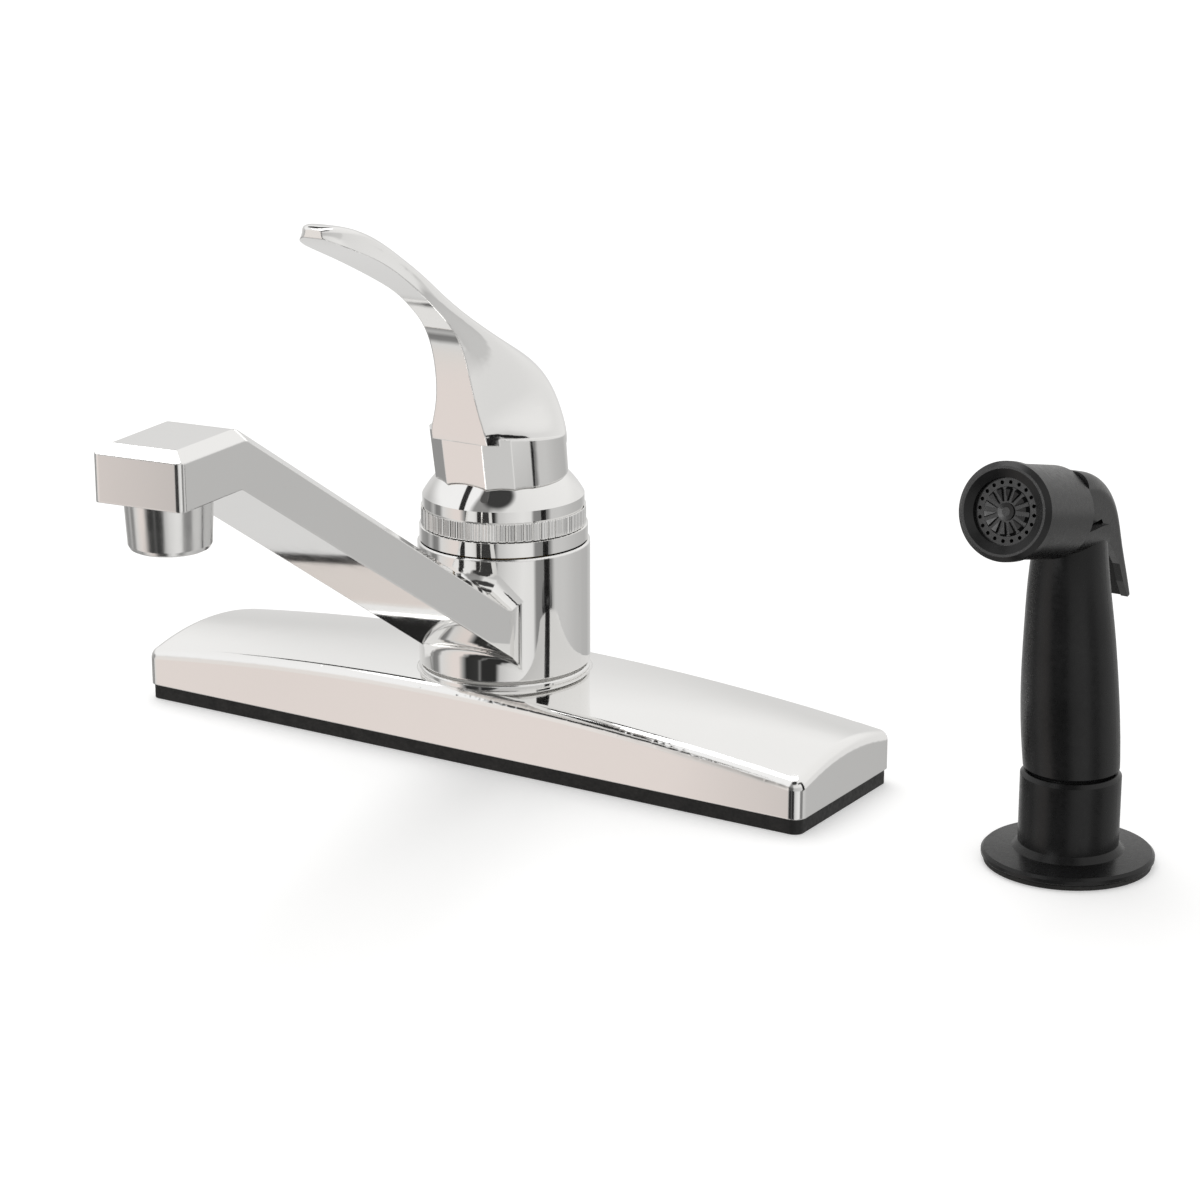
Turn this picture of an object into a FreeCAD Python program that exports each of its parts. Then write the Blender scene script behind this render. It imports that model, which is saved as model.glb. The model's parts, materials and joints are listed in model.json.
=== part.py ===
"""Single-lever kitchen faucet on an eight inch deck plate, with a side sprayer.

Millimetres, +Z up.  The origin is on the spout's axis, on the sink deck.  +X runs along
the deck plate towards the sprayer, and the spout points to -Y, the front.
"""
import FreeCAD
import Part
import math
import os

V = FreeCAD.Vector
UP = V(0, 0, 1)

# Clearances
RUNNING_GAP = 0.06          # radial, shaft in a bearing
FREE_GAP = 0.3              # faces that pass each other
DROP_GAP = 0.4              # a piece that lifts out

# Deck plate and what is under it
HOLE_PITCH = 101.6          # sink holes, four inches
PLATE_LENGTH = 254.0
PLATE_DEPTH = 60.0
PLATE_CORNER = 4.0
PLATE_MID_HEIGHT = 25.6     # crest at the middle
PLATE_END_HEIGHT = 21.0     # crest at the ends
PLATE_MID_RISE = 0.7        # crest above the rims, at the middle
PLATE_END_RISE = 4.8        # and at the ends
PLATE_EDGE_ROUND = 3.5
PLATE_WALL = 2.4
PLATE_RIB = 2.0
GASKET_HEIGHT = 5.0
GASKET_INSET = 0.8
GASKET_FLOOR = 1.8
GASKET_RIM = 5.0
TUBE_WINDOW_LENGTH = 62.0   # opening in the gasket under the valve body
TUBE_WINDOW_WIDTH = 46.0
STUD_RADIUS = 5.0
ANCHOR_RADIUS = 7.2
ANCHOR_LENGTH = 10.0
BOSS_WALL = 2.6
SEAT_PAD_THICKNESS = 4.5
SEAT_PAD_RADIUS = 28.6
SEAT_RECESS = 0.7           # seat of the trim ring, under the crest

# Valve body
BARREL_RADIUS = 22.0
BARREL_TOP = 80.0
SHOULDER_RADIUS = 27.0
SHOULDER_BOTTOM = 9.0
BALL_CENTRE = 69.0
BALL_RADIUS = 12.6
BALL_WALL = 3.0
BALL_PORT_RADIUS = 2.3
CUP_FLOOR = 55.5
PACKING_THICKNESS = 4.0
PACKING_WIDTH = 1.9
SEAT_OFFSET = 7.5           # hot and cold passages from the axis
SEAT_RADIUS = 4.5
SEAT_POCKET_DEPTH = 7.5
SEAT_STAND = 3.5            # seat above the floor of the cup
SEAT_SPRING_LENGTH = 3.6
SEAT_SPRING_WALL = 0.8
PASSAGE_RADIUS = 3.0
CHANNEL_BOTTOM = 38.0
CHANNEL_TOP = 61.0
CHANNEL_DEPTH = 1.8
MIXED_PORT_RADIUS = 2.4
SEAL_HEIGHT = 3.0
SEAL_DEPTH = 2.5
SEAL_MARGIN = 2.0           # land between a seal and the channel
DIVERTER_RADIUS = 3.5
DIVERTER_LENGTH = 8.0
DIVERTER_HEIGHT = 45.0
DIVERTER_TRAVEL = 1.5
SPRAY_PASSAGE_OFFSET = 15.0
FITTING_RADIUS = 6.0
FITTING_FLANGE = 7.0
FITTING_FLANGE_HEIGHT = 2.0
FITTING_BOTTOM = 1.5
INLET_BORE_RADIUS = 4.0
OUTLET_RADIUS = 5.0
OUTLET_BORE_RADIUS = 3.0

# Trim ring and spout hub
TRIM_RADIUS = 28.0
TRIM_HEIGHT = 2.0
GLIDE_THICKNESS = 0.7
GLIDE_GAP = 0.1
GLIDE_INSET = 1.6
HUB_RADIUS = 28.0
HUB_TOP = 68.5
HUB_EDGE = 0.5

# Spout arm and head, before it is swung to its rest place
SPOUT_REST_ANGLE = 6.0      # swing towards +X in which it stands
SPOUT_REACH = 191.0         # spout axis to aerator axis
HEAD_AHEAD = 14.6           # head in front of the aerator axis
HEAD_BEHIND = 13.9
ARM_FOOT = 21.8             # arm's underside, carried on to the spout's axis
HEAD_SIDE = 13.2            # height of the head's side at its edge
KNEE_SHIFT = 3.5            # the upper knee lies this much nearer the hub
ARM_SLOPE = 30.8
HALF_WIDTH_HUB = 16.9
HALF_WIDTH_TIP = 14.1
CROWN_RISE = 2.6            # raised top panel
CROWN_INSET = 4.0
HEAD_CORNER = 2.0
KNEE_ROUND_TOP = 7.0
KNEE_ROUND_BOTTOM = 3.0
ARM_ROOT_ROUND = 5.0
SPOUT_WALL = 4.2

# Aerator
AERATOR_TOP_RADIUS = 12.1
AERATOR_LOW_RADIUS = 11.4
AERATOR_DROP = 14.6
AERATOR_EDGE = 1.6
AERATOR_THREAD_RADIUS = 11.0
AERATOR_THREAD_LENGTH = 5.0
AERATOR_WALL = 1.6
AERATOR_LIP = 0.9
WASHER_THICKNESS = 1.4
WASHER_WIDTH = 2.5
FLOW_DISC_HEIGHT = 7.0
FLOW_HOLE_COUNT = 12
FLOW_HOLE_RADIUS = 0.9
SCREEN_THICKNESS = 1.2
SCREEN_SLOTS = 7
SCREEN_SLOT_WIDTH = 1.1

# Bonnet
CAP_GAP = 0.5               # over the hub
CAP_PLAIN_RADIUS = 27.3
CAP_PLAIN_HEIGHT = 5.0
CAP_KNURL_RADIUS = 26.7
CAP_KNURL_HEIGHT = 5.8
CAP_KNURL_COUNT = 60
CAP_KNURL_DEPTH = 0.45
CAP_KNURL_SHARE = 0.9       # of the pitch that a groove is wide
CAP_LAND_RADIUS = 26.2
CAP_GROOVE = 0.4
DOME_RADIUS = 30.0          # about the ball's centre
CAM_FLANGE_RADIUS = 20.2
CAM_FLANGE_HEIGHT = 3.9
CAM_MOUTH_RADIUS = 9.0
CAM_MOUTH_TOP_RADIUS = 13.0
RING_BORE_RADIUS = 18.6     # thread for the adjusting ring
GUIDE_THICKNESS = 2.5
ADJUSTER_HEIGHT = 4.4
ADJUSTER_BORE_RADIUS = 15.2
ADJUSTER_NOTCHES = 4
ADJUSTER_NOTCH_WIDTH = 3.0

# Lever handle
LIFT_RANGE = 25.0           # degrees
STEM_RADIUS = 3.5
STEM_TOP = 113.0
STEM_SLOT_GAP = 0.15
LEVER_REACH = 97.4          # ball's centre to the tip, along the lever's front
SKIRT_RADIUS = 21.4
SKIRT_TOP_RADIUS = 21.9
SKIRT_TOP_SHIFT = 3.2       # the skirt leans forward
SKIRT_FRONT_SHARE = 0.390   # skirt's top above the ball's centre, of the lever's reach
SKIRT_BACK_SHARE = 0.349
SKIRT_FACET_ANGLES = (20.6, 45.0, 62.0)
SKIRT_BACK_POINTS = 12       # points on the round back of the skirt
SKIRT_WALL = 4.2
STEM_BOSS_WALL = 4.5
SKIRT_POCKET_TOP = 103.0
SCREW_RADIUS = 2.5
SCREW_LENGTH = 9.0
SCREW_HEIGHT = 106.5
SCREW_HEX = 2.5

# Side sprayer, stood beside the plate
SPRAY_X = 203.2             # the fourth sink hole
SPRAY_Y = -4.0
GUIDE_WASHER_THICKNESS = 1.2
GUIDE_WASHER_INSET = 0.8
FLANGE_RADIUS = 25.6
FLANGE_RIM = 2.6
FLANGE_DISH = 0.8
FLANGE_EDGE = 0.8
COLLAR_RADIUS = 14.9
COLLAR_TOP = 28.4
COLLAR_CHAMFER = 1.1
COLLAR_ROOT = 1.8
GUIDE_THREAD_RADIUS = 11.8
GUIDE_THREAD_LENGTH = 8.0
TAIL_RADIUS = 12.6
TAIL_BOTTOM = 12.4
COUPLING_RADIUS = 11.0
COUPLING_BOTTOM = 3.0
COUPLING_FLATS = 6
COUPLING_WASHER = 0.8
NIPPLE_RADIUS = 5.0
NIPPLE_TOP = 25.0
HOSE_BORE_RADIUS = 3.2
SNAP_RING_HEIGHT = 21.0
SNAP_RING_THICKNESS = 1.0
SNAP_RING_WIDTH = 1.2
GRIP_BOTTOM_RADIUS = 14.2
GRIP_BELLY_RADIUS = 14.4
GRIP_BELLY_HEIGHT = 48.0
GRIP_NECK_RADIUS = 11.6
GRIP_NECK_DROP = 29.1       # neck below the face's centre
GRIP_LEAN = 7.4             # neck ahead of the tail
GRIP_LEAN_CURVE = 0.85
HEAD_TILT = 13.0            # the face looks up a little
FACE_AHEAD = 53.7
FACE_HEIGHT = 119.1
FACE_RING_RADIUS = 13.9
FACE_RING_DEPTH = 5.0
FACE_OPENING_RADIUS = 9.4
FACE_LIP = 1.4
FACE_EDGE = 0.7
FACE_DISH = 1.0
BARREL_HEAD_RADIUS = 13.3
BARREL_HEAD_LENGTH = 27.0
BARREL_GROOVE = 0.7
CHAMBER_RADIUS = 8.2
CHAMBER_DEPTH = 22.0
NOZZLE_RECESS = 2.6
NOZZLE_CONE_RADIUS = 6.9
NOZZLE_CUP_RADIUS = 1.2
NOZZLE_CUP_DEPTH = 0.6
NOZZLE_FLUTES = 14
NOZZLE_FLUTE_DEPTH = 1.1
NOZZLE_FLUTE_WIDTH = 1.3
NOZZLE_HOLE_RADIUS = 0.55
NOZZLE_HOLES = 20
FACE_SEAL_THICKNESS = 1.0
TRIGGER_THICKNESS = 2.4
TRIGGER_HALF_WIDTH = 10.1   # at the pivot
TRIGGER_TIP_HALF_WIDTH = 4.4
TRIGGER_CHEEK = 2.2
TRIGGER_SKIN = 0.9          # left outside the pin's blind holes
TRIGGER_ROUND_TOP = 5.0
TRIGGER_ROUND_TIP = 2.0
TRIGGER_RANGE = 7.0         # degrees
PIVOT_BEHIND = 41.7         # pivot behind the face's centre, and below it
PIVOT_DROP = 4.6
PIVOT_RADIUS = 1.6
PLUNGER_DROP = 16.5         # plunger below the pivot
PLUNGER_RADIUS = 2.0
PLUNGER_BUTTON_RADIUS = 3.0
PLUNGER_TRAVEL = 3.1
PLUNGER_REACH = 14.0        # from the button's centre to the inner end
SPRING_WALL = 0.7
SPRING_LENGTH = 6.0
PLUNGER_SEAL_LENGTH = 2.0
PLUNGER_SEAL_WIDTH = 1.4


# Places that follow from the sizes
PAD_TOP = PLATE_MID_HEIGHT - SEAT_RECESS
ARM_RISE = math.tan(math.radians(ARM_SLOPE))
HEAD_BOTTOM = ARM_FOOT + ARM_RISE * (SPOUT_REACH - HEAD_BEHIND)
PAD_BOTTOM = PAD_TOP - SEAT_PAD_THICKNESS
TRIM_TOP = PAD_TOP + TRIM_HEIGHT
HUB_BOTTOM = TRIM_TOP + GLIDE_THICKNESS + GLIDE_GAP
HUB_BORE = BARREL_RADIUS + RUNNING_GAP
SOCKET_RADIUS = BALL_RADIUS + FREE_GAP
PACKING_LEDGE = BALL_CENTRE - PACKING_THICKNESS / 2
CAVITY_RADIUS = SOCKET_RADIUS + PACKING_WIDTH
CAP_BOTTOM = HUB_TOP + CAP_GAP
CAP_KNURL_BOTTOM = CAP_BOTTOM + CAP_PLAIN_HEIGHT
CAP_LAND_BOTTOM = CAP_KNURL_BOTTOM + CAP_KNURL_HEIGHT
CAP_CEILING = BARREL_TOP + CAM_FLANGE_HEIGHT + FREE_GAP
GUIDE_TOP = CAP_CEILING + GUIDE_THICKNESS
ADJUSTER_BOTTOM = GUIDE_TOP + FREE_GAP
WAND_BOTTOM = COLLAR_TOP + DROP_GAP
PLATE_UNDER = GASKET_HEIGHT
NOZZLE_THICKNESS = FACE_RING_DEPTH - NOZZLE_RECESS - FACE_SEAL_THICKNESS
NOZZLE_RADIUS = FACE_OPENING_RADIUS + FACE_EDGE
BARREL_END = FACE_RING_DEPTH + BARREL_HEAD_LENGTH
GRIP_NECK_HEIGHT = FACE_HEIGHT - GRIP_NECK_DROP
PIVOT_AHEAD = FACE_AHEAD - PIVOT_BEHIND
PIVOT_HEIGHT = FACE_HEIGHT - PIVOT_DROP
PLUNGER_HEIGHT = PIVOT_HEIGHT - PLUNGER_DROP


# Helpers ------------------------------------------------------------------------------
def rod(radius, low, high, x=0.0, y=0.0):
    """Upright cylinder between two heights."""
    return Part.makeCylinder(radius, high - low, V(x, y, low), UP)


def tube(outer, inner, low, high, x=0.0, y=0.0):
    """Upright tube between two heights."""
    return rod(outer, low, high, x, y).cut(rod(inner, low - 1, high + 1, x, y))


def turned(profile):
    """Body of revolution about Z from (radius, height) corners."""
    corners = [V(radius, 0, height) for radius, height in profile]
    face = Part.Face(Part.makePolygon(corners + corners[:1]))
    return face.revolve(V(0, 0, 0), UP, 360)


def rod_along(radius, start, end):
    """Cylinder between two points."""
    run = end - start
    return Part.makeCylinder(radius, run.Length, start, run)


def rounded_block(length, depth, corner, low, high):
    """Block centred on Z with rounded upright edges."""
    block = Part.makeBox(length, depth, high - low, V(-length / 2, -depth / 2, low))
    upright = [edge for edge in block.Edges if is_upright(edge)]
    return block.makeFillet(corner, upright)


def is_upright(edge):
    first = edge.Vertexes[0].Point
    last = edge.Vertexes[-1].Point
    return abs(first.x - last.x) < 1e-6 and abs(first.y - last.y) < 1e-6


def side_prism(outline, half_width):
    """Prism across X from an outline of (forward, height) corners; forward is -Y."""
    corners = [V(-half_width, -forward, height) for forward, height in outline]
    face = Part.Face(Part.makePolygon(corners + corners[:1]))
    return face.extrude(V(2 * half_width, 0, 0))


def ring_of(shape, count, axis_x=0.0, axis_y=0.0):
    """Copies of a shape about an upright axis, as one compound."""
    copies = []
    for index in range(count):
        copy = shape.copy()
        copy.rotate(V(axis_x, axis_y, 0), UP, 360.0 * index / count)
        copies.append(copy)
    return Part.makeCompound(copies)


def joined(shapes):
    """One solid out of overlapping solids."""
    return shapes[0].fuse(shapes[1:]).removeSplitter()


def dome_height(radius, sphere):
    """Height at which a sphere about the ball's centre has this radius."""
    return BALL_CENTRE + math.sqrt(sphere ** 2 - radius ** 2)


# Deck plate -----------------------------------------------------------------------------
def crown_section(x, lowered):
    """Cross-section of the space under the plate's crown: an arch on straight sides."""
    share = (2 * x / PLATE_LENGTH) ** 2
    crest = PLATE_MID_HEIGHT - (PLATE_MID_HEIGHT - PLATE_END_HEIGHT) * share - lowered
    half = 0.6 * PLATE_DEPTH
    rise = PLATE_MID_RISE + (PLATE_END_RISE - PLATE_MID_RISE) * share
    rim = crest - rise * (2 * half / PLATE_DEPTH) ** 2
    arch = Part.Arc(V(x, -half, rim), V(x, 0, crest), V(x, half, rim)).toShape()
    legs = Part.makePolygon([V(x, half, rim), V(x, half, 0), V(x, -half, 0), V(x, -half, rim)])
    return Part.Wire([arch] + legs.Edges)


def crowned_space(lowered=0.0):
    """Everything under the plate's top: nearly flat at the middle, arched at the ends."""
    reach = 0.55 * PLATE_LENGTH
    steps = (-1.0, -0.5, 0.0, 0.5, 1.0)
    return Part.makeLoft([crown_section(step * reach, lowered) for step in steps], True, False)


def plate_shell():
    outer = rounded_block(PLATE_LENGTH, PLATE_DEPTH, PLATE_CORNER, PLATE_UNDER, 2 * PLATE_MID_HEIGHT)
    outer = outer.common(crowned_space())
    rim = [edge for edge in outer.Edges if is_plate_rim(edge)]
    outer = outer.makeFillet(PLATE_EDGE_ROUND, rim)
    inner = rounded_block(PLATE_LENGTH - 2 * PLATE_WALL, PLATE_DEPTH - 2 * PLATE_WALL,
                          PLATE_CORNER - PLATE_WALL / 2, PLATE_UNDER - 1, 2 * PLATE_MID_HEIGHT)
    return outer.cut(inner.common(crowned_space(PLATE_WALL)))


def is_plate_rim(edge):
    """Top edges of the plate, where its sides meet the crown."""
    lowest = min(vertex.Point.z for vertex in edge.Vertexes)
    return lowest > PLATE_UNDER + 1 and not is_upright(edge)


def deck_plate():
    shell = plate_shell()
    under_crown = crowned_space(PLATE_WALL / 2)
    pad = rod(SEAT_PAD_RADIUS, PAD_BOTTOM, PAD_TOP)
    recess = rod(SEAT_PAD_RADIUS, PAD_TOP, 2 * PLATE_MID_HEIGHT)
    ribs = [Part.makeBox(PLATE_RIB, PLATE_DEPTH - PLATE_WALL, PLATE_MID_HEIGHT,
                         V(side * HOLE_PITCH / 2 - PLATE_RIB / 2, (PLATE_WALL - PLATE_DEPTH) / 2,
                           PLATE_UNDER + PLATE_WALL)) for side in (-1, 1)]
    bosses = [rod(ANCHOR_RADIUS + BOSS_WALL, PLATE_UNDER, PLATE_MID_HEIGHT, side * HOLE_PITCH)
              for side in (-1, 1)]
    inside = [piece.common(under_crown) for piece in ribs + bosses]
    plate = joined([shell, pad] + inside)
    cutters = [rod(BARREL_RADIUS + DROP_GAP, 0, 2 * PLATE_MID_HEIGHT), recess]
    for side in (-1, 1):
        cutters.append(rod(ANCHOR_RADIUS, 0, PLATE_UNDER + ANCHOR_LENGTH, side * HOLE_PITCH))
    return plate.cut(cutters)


def base_gasket():
    length = PLATE_LENGTH - 2 * GASKET_INSET
    depth = PLATE_DEPTH - 2 * GASKET_INSET
    corner = PLATE_CORNER - GASKET_INSET
    band = rounded_block(length, depth, corner, 0, GASKET_HEIGHT)
    pocket = rounded_block(length - 2 * GASKET_RIM, depth - 2 * GASKET_RIM, corner / 2,
                           GASKET_FLOOR, GASKET_HEIGHT + 1)
    window = rounded_block(TUBE_WINDOW_LENGTH, TUBE_WINDOW_WIDTH, TUBE_WINDOW_WIDTH / 4, -1,
                           GASKET_HEIGHT + 1)
    collars = [rod(ANCHOR_RADIUS + BOSS_WALL, 0, GASKET_HEIGHT, side * HOLE_PITCH)
               for side in (-1, 1)]
    gasket = joined([band.cut(pocket)] + collars)
    holes = [rod(STUD_RADIUS + RUNNING_GAP, -1, GASKET_HEIGHT + 1, side * HOLE_PITCH)
             for side in (-1, 1)]
    return gasket.cut([window] + holes)


def stud_anchor(side):
    """Tapped insert in a boss of the plate."""
    return tube(ANCHOR_RADIUS, STUD_RADIUS, PLATE_UNDER, PLATE_UNDER + ANCHOR_LENGTH,
                side * HOLE_PITCH)


# Valve body and the pieces in it ----------------------------------------------------------
def seal_groove_heights():
    """Bottoms of the two seal grooves, one each side of the water channel."""
    lower = CHANNEL_BOTTOM - SEAL_MARGIN - SEAL_HEIGHT
    upper = CHANNEL_TOP + SEAL_MARGIN
    return lower, upper


def valve_body():
    floor_radius = SOCKET_RADIUS + FREE_GAP
    body = turned([(0, SHOULDER_BOTTOM), (SHOULDER_RADIUS - 1, SHOULDER_BOTTOM),
                   (SHOULDER_RADIUS, SHOULDER_BOTTOM + 1), (SHOULDER_RADIUS, PAD_BOTTOM),
                   (BARREL_RADIUS, PAD_BOTTOM), (BARREL_RADIUS, BARREL_TOP),
                   (CAVITY_RADIUS, BARREL_TOP), (CAVITY_RADIUS, PACKING_LEDGE),
                   (floor_radius, PACKING_LEDGE), (floor_radius, CUP_FLOOR), (0, CUP_FLOOR)])
    cutters = [tube(2 * BARREL_RADIUS, BARREL_RADIUS - CHANNEL_DEPTH, CHANNEL_BOTTOM, CHANNEL_TOP)]
    for low in seal_groove_heights():
        cutters.append(tube(2 * BARREL_RADIUS, BARREL_RADIUS - SEAL_DEPTH, low, low + SEAL_HEIGHT))
    for side in (-1, 1):
        x = side * SEAT_OFFSET
        cutters.append(rod(SEAT_RADIUS, CUP_FLOOR - SEAT_POCKET_DEPTH, CUP_FLOOR + 1, x))
        cutters.append(rod(PASSAGE_RADIUS, SHOULDER_BOTTOM - 1, CUP_FLOOR, x))
    port_height = CUP_FLOOR + MIXED_PORT_RADIUS + FREE_GAP
    cutters.append(rod_along(MIXED_PORT_RADIUS, V(0, 0, port_height), V(0, BARREL_RADIUS + 1, port_height)))
    cutters.append(rod(PASSAGE_RADIUS, SHOULDER_BOTTOM - 1, DIVERTER_HEIGHT, 0, -SPRAY_PASSAGE_OFFSET))
    cutters.append(diverter_rod(DIVERTER_RADIUS + RUNNING_GAP, DIVERTER_TRAVEL + 1, BARREL_RADIUS))
    return body.cut(cutters)


def diverter_rod(radius, deeper, front):
    """Cylinder on the diverter's axis, from the channel inwards."""
    back = BARREL_RADIUS - CHANNEL_DEPTH - DIVERTER_LENGTH - deeper
    return rod_along(radius, V(0, -back, DIVERTER_HEIGHT), V(0, -front, DIVERTER_HEIGHT))


def diverter_valve():
    """Small piston that sends the water to the sprayer when the trigger is pressed."""
    piston = diverter_rod(DIVERTER_RADIUS, 0, BARREL_RADIUS - CHANNEL_DEPTH)
    middle = BARREL_RADIUS - CHANNEL_DEPTH - DIVERTER_LENGTH / 2
    neck_start = V(0, -middle - DIVERTER_LENGTH / 8, DIVERTER_HEIGHT)
    neck_end = V(0, -middle + DIVERTER_LENGTH / 8, DIVERTER_HEIGHT)
    waist = rod_along(DIVERTER_RADIUS + 1, neck_start, neck_end)
    return piston.cut(waist.cut(rod_along(DIVERTER_RADIUS - 1, neck_start, neck_end)))


def spout_seal(low):
    """Rubber ring of the barrel, flush with it."""
    inner = BARREL_RADIUS - SEAL_DEPTH
    edge = SEAL_HEIGHT / 4
    high = low + SEAL_HEIGHT
    return turned([(inner, low), (BARREL_RADIUS - edge, low), (BARREL_RADIUS, low + edge),
                   (BARREL_RADIUS, high - edge), (BARREL_RADIUS - edge, high), (inner, high)])


def fitting(radius, bore, x, y):
    """Socket under the valve body, with a flange at its root."""
    root = SHOULDER_BOTTOM - FITTING_FLANGE_HEIGHT
    outer = joined([rod(radius, FITTING_BOTTOM, SHOULDER_BOTTOM, x, y),
                    rod(radius + FITTING_FLANGE - FITTING_RADIUS, root, SHOULDER_BOTTOM, x, y)])
    return outer.cut(rod(bore, 0, SHOULDER_BOTTOM + 1, x, y))


def valve_seat(side):
    """Rubber cup that a spring holds against the ball."""
    x = side * SEAT_OFFSET
    low = CUP_FLOOR - SEAT_POCKET_DEPTH + SEAT_SPRING_LENGTH
    cup = tube(SEAT_RADIUS, PASSAGE_RADIUS - SEAT_SPRING_WALL, low, CUP_FLOOR + SEAT_STAND, x)
    return cup.cut(Part.makeSphere(SOCKET_RADIUS, V(0, 0, BALL_CENTRE)))


def seat_spring(side):
    low = CUP_FLOOR - SEAT_POCKET_DEPTH
    return tube(SEAT_RADIUS - RUNNING_GAP, SEAT_RADIUS - RUNNING_GAP - SEAT_SPRING_WALL, low,
                low + SEAT_SPRING_LENGTH, side * SEAT_OFFSET)


def valve_ball():
    centre = V(0, 0, BALL_CENTRE)
    shell = Part.makeSphere(BALL_RADIUS, centre)
    stem = rod(STEM_RADIUS, BALL_CENTRE + BALL_RADIUS - BALL_WALL, STEM_TOP)
    ball = joined([shell, stem.makeChamfer(STEM_RADIUS / 5, [stem.Edges[0]])])
    ports = [Part.makeSphere(BALL_RADIUS - BALL_WALL, centre)]
    for side in (-1, 1):
        outside = V(side * SEAT_OFFSET * 2, -BALL_RADIUS, BALL_CENTRE - BALL_RADIUS)
        ports.append(rod_along(BALL_PORT_RADIUS, centre, outside))
    ports.append(rod_along(BALL_PORT_RADIUS, centre, V(0, 2 * BALL_RADIUS, BALL_CENTRE - BALL_RADIUS)))
    return ball.cut(ports)


def ball_packing():
    ring = rod(CAVITY_RADIUS, PACKING_LEDGE, PACKING_LEDGE + PACKING_THICKNESS)
    return ring.cut(Part.makeSphere(SOCKET_RADIUS, V(0, 0, BALL_CENTRE)))


def cam():
    """Plastic socket over the ball, clamped on top of the barrel."""
    low = PACKING_LEDGE + PACKING_THICKNESS
    mouth = dome_height(CAM_MOUTH_RADIUS, SOCKET_RADIUS)
    top = BARREL_TOP + CAM_FLANGE_HEIGHT
    blank = turned([(0, low), (CAVITY_RADIUS, low), (CAVITY_RADIUS, BARREL_TOP),
                    (CAM_FLANGE_RADIUS, BARREL_TOP), (CAM_FLANGE_RADIUS, top), (0, top)])
    cone = turned([(0, mouth), (CAM_MOUTH_RADIUS, mouth), (CAM_MOUTH_TOP_RADIUS, top),
                   (CAM_MOUTH_TOP_RADIUS, top + 1), (0, top + 1)])
    return blank.cut([Part.makeSphere(SOCKET_RADIUS, V(0, 0, BALL_CENTRE)), cone])


# Trim ring, glide washer, spout --------------------------------------------------------------
def trim_ring():
    edge = TRIM_HEIGHT / 4
    return turned([(BARREL_RADIUS, PAD_TOP), (TRIM_RADIUS, PAD_TOP), (TRIM_RADIUS, TRIM_TOP - edge),
                   (TRIM_RADIUS - edge, TRIM_TOP), (BARREL_RADIUS, TRIM_TOP)])


def glide_washer():
    return tube(TRIM_RADIUS - GLIDE_INSET, BARREL_RADIUS + DROP_GAP, TRIM_TOP,
                TRIM_TOP + GLIDE_THICKNESS)


def arm_outline(inset, crown):
    """Side view of arm and head, drawn in by inset, with the top raised by crown."""
    rise = inset / math.cos(math.radians(ARM_SLOPE))
    knee = SPOUT_REACH - HEAD_BEHIND
    upper_knee = knee - KNEE_SHIFT
    front = SPOUT_REACH + HEAD_AHEAD - inset
    low = HEAD_BOTTOM + inset
    top = HEAD_BOTTOM + HEAD_SIDE + crown - inset
    arm_low = ARM_FOOT + rise
    arm_top = HEAD_BOTTOM + HEAD_SIDE + crown - ARM_RISE * upper_knee - rise
    shift = (rise - inset) / ARM_RISE
    return [(0, arm_low), (knee - shift, low), (front, low), (front, top), (upper_knee - shift, top),
            (0, arm_top)]


def arm_prism(inset, crown):
    """Arm and head, narrowing from the hub to the tip."""
    profile = side_prism(arm_outline(inset, crown), HUB_RADIUS)
    tip = SPOUT_REACH + HEAD_AHEAD
    hub = HALF_WIDTH_HUB - inset
    end = HALF_WIDTH_TIP - inset
    plan = [V(-hub, 0, 0), V(hub, 0, 0), V(end, -tip, 0), V(-end, -tip, 0), V(-hub, 0, 0)]
    return profile.common(Part.Face(Part.makePolygon(plan)).extrude(V(0, 0, 2 * HEAD_BOTTOM)))


def edges_at(shape, test):
    return [edge for edge in shape.Edges if test(edge)]


def crowned_arm():
    """Arm with the bevel round its raised top panel, and its rounded knees and corners."""
    tip = SPOUT_REACH + HEAD_AHEAD
    top = HEAD_BOTTOM + HEAD_SIDE + CROWN_RISE
    arm = arm_prism(0, CROWN_RISE)
    sides = edges_at(arm, lambda e: e.BoundBox.YLength > 1 and is_top_rim(e, arm))
    arm = arm.makeChamfer(CROWN_RISE, CROWN_INSET, sides)
    front = edges_at(arm, lambda e: -e.BoundBox.YMax > tip - 0.1 and e.BoundBox.ZMin > top - 0.1)
    arm = arm.makeChamfer(CROWN_RISE, CROWN_INSET, front)
    knee = SPOUT_REACH - HEAD_BEHIND
    arm = arm.makeFillet(KNEE_ROUND_TOP, knee_edges(arm, knee - KNEE_SHIFT, top - 2 * CROWN_RISE, top))
    arm = arm.makeFillet(KNEE_ROUND_BOTTOM, knee_edges(arm, knee, HEAD_BOTTOM, HEAD_BOTTOM))
    corners = edges_at(arm, lambda e: is_upright(e) and -e.BoundBox.YMin > tip - 0.1)
    return arm.makeFillet(HEAD_CORNER, corners)


def is_top_rim(edge, shape):
    """Edges that border a face of the top panel on one side only."""
    owners = [face for face in shape.Faces if face_looks_up(face) and has_edge(face, edge)]
    return len(owners) == 1


def has_edge(face, edge):
    return any(other.isSame(edge) for other in face.Edges)


def face_looks_up(face):
    first, last, low, high = face.ParameterRange
    return face.normalAt((first + last) / 2, (low + high) / 2).z > 0.5


def knee_edges(arm, forward, low, high):
    """Short edges across the arm at a knee."""
    reach = 2 * KNEE_SHIFT
    return edges_at(arm, lambda e: e.BoundBox.YLength < 1 and e.BoundBox.XLength > 1
                    and abs(-e.BoundBox.YMax - forward) < reach / 2
                    and low - 0.1 < e.BoundBox.ZMin and e.BoundBox.ZMax < high + 0.1)


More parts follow.
